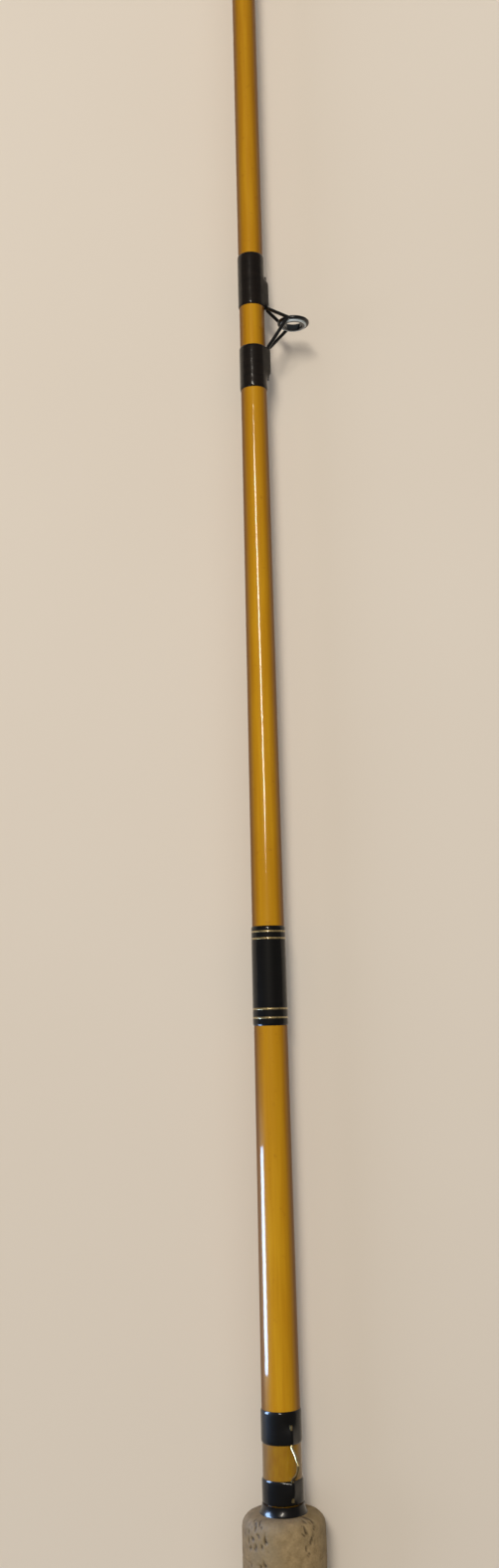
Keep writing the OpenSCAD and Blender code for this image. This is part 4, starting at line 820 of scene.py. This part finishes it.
TIP_WIRE, TIP_RING = 0.45 * MM, 2.6 * MM
tube_r = (tube_high.z - tube_low.z) / 2
rod_tip = tube_high.y + 3.6 * MM
tip_low = tube_r + TIP_WIRE + 0.03 * MM
lift = tip_low + 0.9 * MM + TIP_RING
foot = [(0.2 * MM, -13 * MM, tip_low), (0.3 * MM, -9 * MM, tip_low),
        (0.5 * MM, -5.6 * MM, tip_low + 0.05 * MM), (1.3 * MM, -3.2 * MM, tip_low + 0.1 * MM)]
ring = [(lift + TIP_RING * math.cos(math.radians(a)),
         -TIP_WIRE - 0.5 * MM * (1 - math.cos(math.radians(a))),
         TIP_RING * math.sin(math.radians(a)))
        for a in range(135, -136, -15)]
points = foot + ring + [(x, y, -z) for x, y, z in foot[::-1]]
tip = wire("tip_ring_wire", [(AXIS_X + x, rod_tip + y, AXIS_Z + z) for x, y, z in points], TIP_WIRE)
fit(tip, "tip_ring")

# %% [markdown]
# ## Cork rings
# A grip is a row of half-inch cork rings glued end to end and turned on the blank. Each is modelled
# as a closed ring with a fine skin. Its pits are cut by moving vertices inwards where a noise made
# of cells says that a pore ends at the surface, and the same value is kept on the vertices, so
# that the finish is dark exactly where the skin is cut.

# %% Cork shapes
def outline_of(node, smallest):
    """Outer radius at each y of a row of turned rings"""
    outer = {}
    for vertex in frame["nodes"][node].data.vertices:
        radius = math.hypot(vertex.co.x - AXIS_X, vertex.co.z - AXIS_Z)
        if radius > smallest:
            key = round(vertex.co.y, 5)
            outer[key] = max(outer.get(key, 0), radius)
    return sorted(outer.items())


def along_outline(outline, y):
    for (y0, r0), (y1, r1) in zip(outline, outline[1:]):
        if y <= y1:
            return r0 + (r1 - r0) * (y - y0) / max(y1 - y0, 1e-9)
    return outline[-1][1]


def pore_depth(point):
    """0 on sound cork to 1 in the middle of a pore. Pores are longer round the ring."""
    stretched = Vector((point.x, point.y * 0.8, point.z)) / (4.2 * MM)
    distances, centres = noise.voronoi(stretched)
    chance = noise.cell(centres[0] * 7.3)
    size = 0.07 + 0.13 * abs(chance)
    ragged = 0.06 * noise.noise(point / (0.6 * MM))
    return soft_step((size + ragged - distances[0]) / 0.08) if chance > 0.3 else 0.0


def crack_depth(point):
    """Cracks of dry cork run along the rod, in a few places only"""
    where = noise.noise(Vector((point.x, point.y * 0.15, point.z)) / (7 * MM))
    line = noise.noise(Vector((point.x, point.y * 0.16, point.z)) / (1.5 * MM))
    return soft_step((where - 0.12) / 0.15) * soft_step((0.07 - abs(line)) / 0.05)


def cork_ring(name, y_front, y_rear, bore, outline, steps, step_mm=0.55):
    """One closed cork ring with its pits cut"""
    count = round((y_front - y_rear) / (step_mm * MM))
    stations = [y_rear + (y_front - y_rear) * k / count for k in range(count + 1)]
    skin = [(y, along_outline(outline, y)) for y in stations]
    seam = 0.12 * MM
    skin[0], skin[-1] = (skin[0][0], skin[0][1] - seam), (skin[-1][0], skin[-1][1] - seam)
    piece = turn(name, [(y_rear, bore)] + skin + [(y_front, bore)], steps)
    pit = piece.data.attributes.new("pit", "FLOAT", "POINT")
    for vertex in piece.data.vertices:
        x, z = vertex.co.x - AXIS_X, vertex.co.z - AXIS_Z
        radius = math.hypot(x, z)
        if radius < along_outline(outline, vertex.co.y) - 1 * MM:
            continue
        depth = max(pore_depth(vertex.co), 0.8 * crack_depth(vertex.co))
        wander = 0.06 * MM * noise.noise(vertex.co / (5 * MM))
        scale = 1 - (0.55 * MM * depth + abs(wander)) / radius
        vertex.co.x, vertex.co.z = AXIS_X + x * scale, AXIS_Z + z * scale
        pit.data[vertex.index].value = depth
    return piece


# %% [markdown]
# ## Grip and butt
# Fourteen half-inch rings make the grip and three make the butt behind the reel seat. The outline of
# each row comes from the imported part.

# %% Grip
RING = 12.7 * MM
grip_low, grip_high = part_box("grip_cork_rings")
grip_outline = outline_of("grip_cork_rings", 8.5 * MM)
ring_total = round((grip_high.y - grip_low.y) / RING)
rings = [cork_ring(f"ring_{k}", grip_high.y - k * RING, grip_high.y - (k + 1) * RING,
                   rod_r(grip_high.y - k * RING) + 0.1 * MM, grip_outline, 144)
         for k in range(ring_total)]
grip = joined(rings, "cork_grip")
smooth(grip, 40)
fit(grip, "grip_cork_rings")

butt_low, butt_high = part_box("butt_cork_rings")
butt_outline = outline_of("butt_cork_rings", 10 * MM)
third = (butt_high.y - butt_low.y) / 3
butt_rings = [cork_ring(f"butt_ring_{k}", butt_high.y - k * third, butt_high.y - (k + 1) * third,
                        7.2 * MM, butt_outline, 128) for k in range(3)]
butt = joined(butt_rings, "cork_fighting_butt")
smooth(butt, 40)
fit(butt, "butt_cork_rings")

# %% [markdown]
# ## Floor, light and camera
# A plain pale floor under the reel. One long soft light hangs well beyond the stripping guide and a
# little to the left: it draws the narrow highlight down the middle of the varnish. A low soft light
# at the left draws the broad white one on the thick end. The rest is an even, dim studio.

# %% Floor
FLOOR_SIZE, FLOOR_DROP = 16, 0.4 * MM
nothing_selected()
bpy.ops.mesh.primitive_plane_add(size=FLOOR_SIZE, location=(0, 1.1, -FLOOR_DROP))
floor = bpy.context.object
floor.name = "studio_floor"
floor_finish = new_finish("pale_matt_floor")
paper = add(floor_finish, "TexNoise", {"Vector": place(floor_finish), "Scale": 3.0, "Detail": 3.0})
pale = blend_colours(floor_finish, between(floor_finish, paper.outputs["Fac"], 0.3, 0.7),
                     linear("#d9d0c4"), linear("#ddd5ca"))
close_finish(floor_finish, Base_Color=pale, Roughness=0.9, Specular_IOR_Level=0.0)
floor.data.materials.append(floor_finish)
floor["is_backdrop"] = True


# %% [markdown]
# ## Soft lights
# Every light is a rectangular soft box. The two large ones are kept out of reflections, so that
# only the long box and the small card draw highlights on the varnish.

# %% Lights
def soft_light(name, at, aim, width, length, watts, colour):
    """A rectangular soft box at a place, facing a point"""
    nothing_selected()
    bpy.ops.object.light_add(type="AREA", location=at)
    box = bpy.context.object
    box.name = name
    light = box.data
    light.shape, light.size, light.size_y = "RECTANGLE", width, length
    light.energy, light.color = watts, linear(colour)[:3]
    box.rotation_euler = (Vector(aim) - Vector(at)).to_track_quat("-Z", "Y").to_euler()
    box.visible_camera = False
    return box


soft_light("key_beyond_the_top", (-0.27, 0.91, 1.5), (-0.07, 0.55, 0), 0.2, 0.62, 14, "#fff6e8")
window = soft_light("low_window_left", (-1.6, 0.1, 0.9), (-0.07, 0.3, 0.02), 0.8, 0.8, 6, "#e9f1ff")
window.visible_glossy = False
card = soft_light("window_card", (-0.167, 0.289, 0.0235), (0, 0.289, 0.0235), 0.085, 0.045, 0.5,
                  "#a9cdff")
card.visible_diffuse = False
fill = soft_light("wide_fill", (0, 1.1, 3.2), (0, 1.1, 0), 5, 5, 37, "#fff9f2")
fill.visible_glossy = False
world = bpy.data.worlds.new("even_studio")
bpy.context.scene.world = world
world.use_nodes = True
background = world.node_tree.nodes["Background"]
background.inputs["Color"].default_value = linear("#d6d3cf")
background.inputs["Strength"].default_value = 0.25
bpy.context.scene.view_settings.view_transform = "Standard"

# %% [markdown]
# ## Camera
# The camera looks almost straight down from 0.55 m, tilted a little towards the tip. The view is
# tall and narrow, so the lens is fitted to its height.

# %% Camera
nothing_selected()
bpy.ops.object.camera_add()
camera = bpy.context.object
camera.name = "camera_over_the_rod"
camera.data.sensor_fit, camera.data.sensor_height, camera.data.sensor_width = "VERTICAL", 36, 36
camera.data.lens = 34.955
camera.data.shift_x, camera.data.shift_y = 0.00093, -0.03778
camera.data.clip_start = 0.01
camera.matrix_world = (Matrix.Translation((-0.07213, 0.3809, 0.55177))
                       @ Matrix.Rotation(math.radians(11), 4, "X")
                       @ Matrix.Rotation(math.radians(-1.409), 4, "Z"))
bpy.context.scene.camera = camera

# %% [markdown]
# ## Sizes
# Both boxes are printed: the imported model's and the finished pieces'. The finished pieces
# must stay in the imported model's box.

# %% Sizes
visual_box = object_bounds()
for axis, cad0, cad1, seen0, seen1 in zip("xyz", *cad_box, *visual_box):
    print(axis, "CAD", round(cad0, 4), round(cad1, 4), "visual", round(seen0, 4), round(seen1, 4))
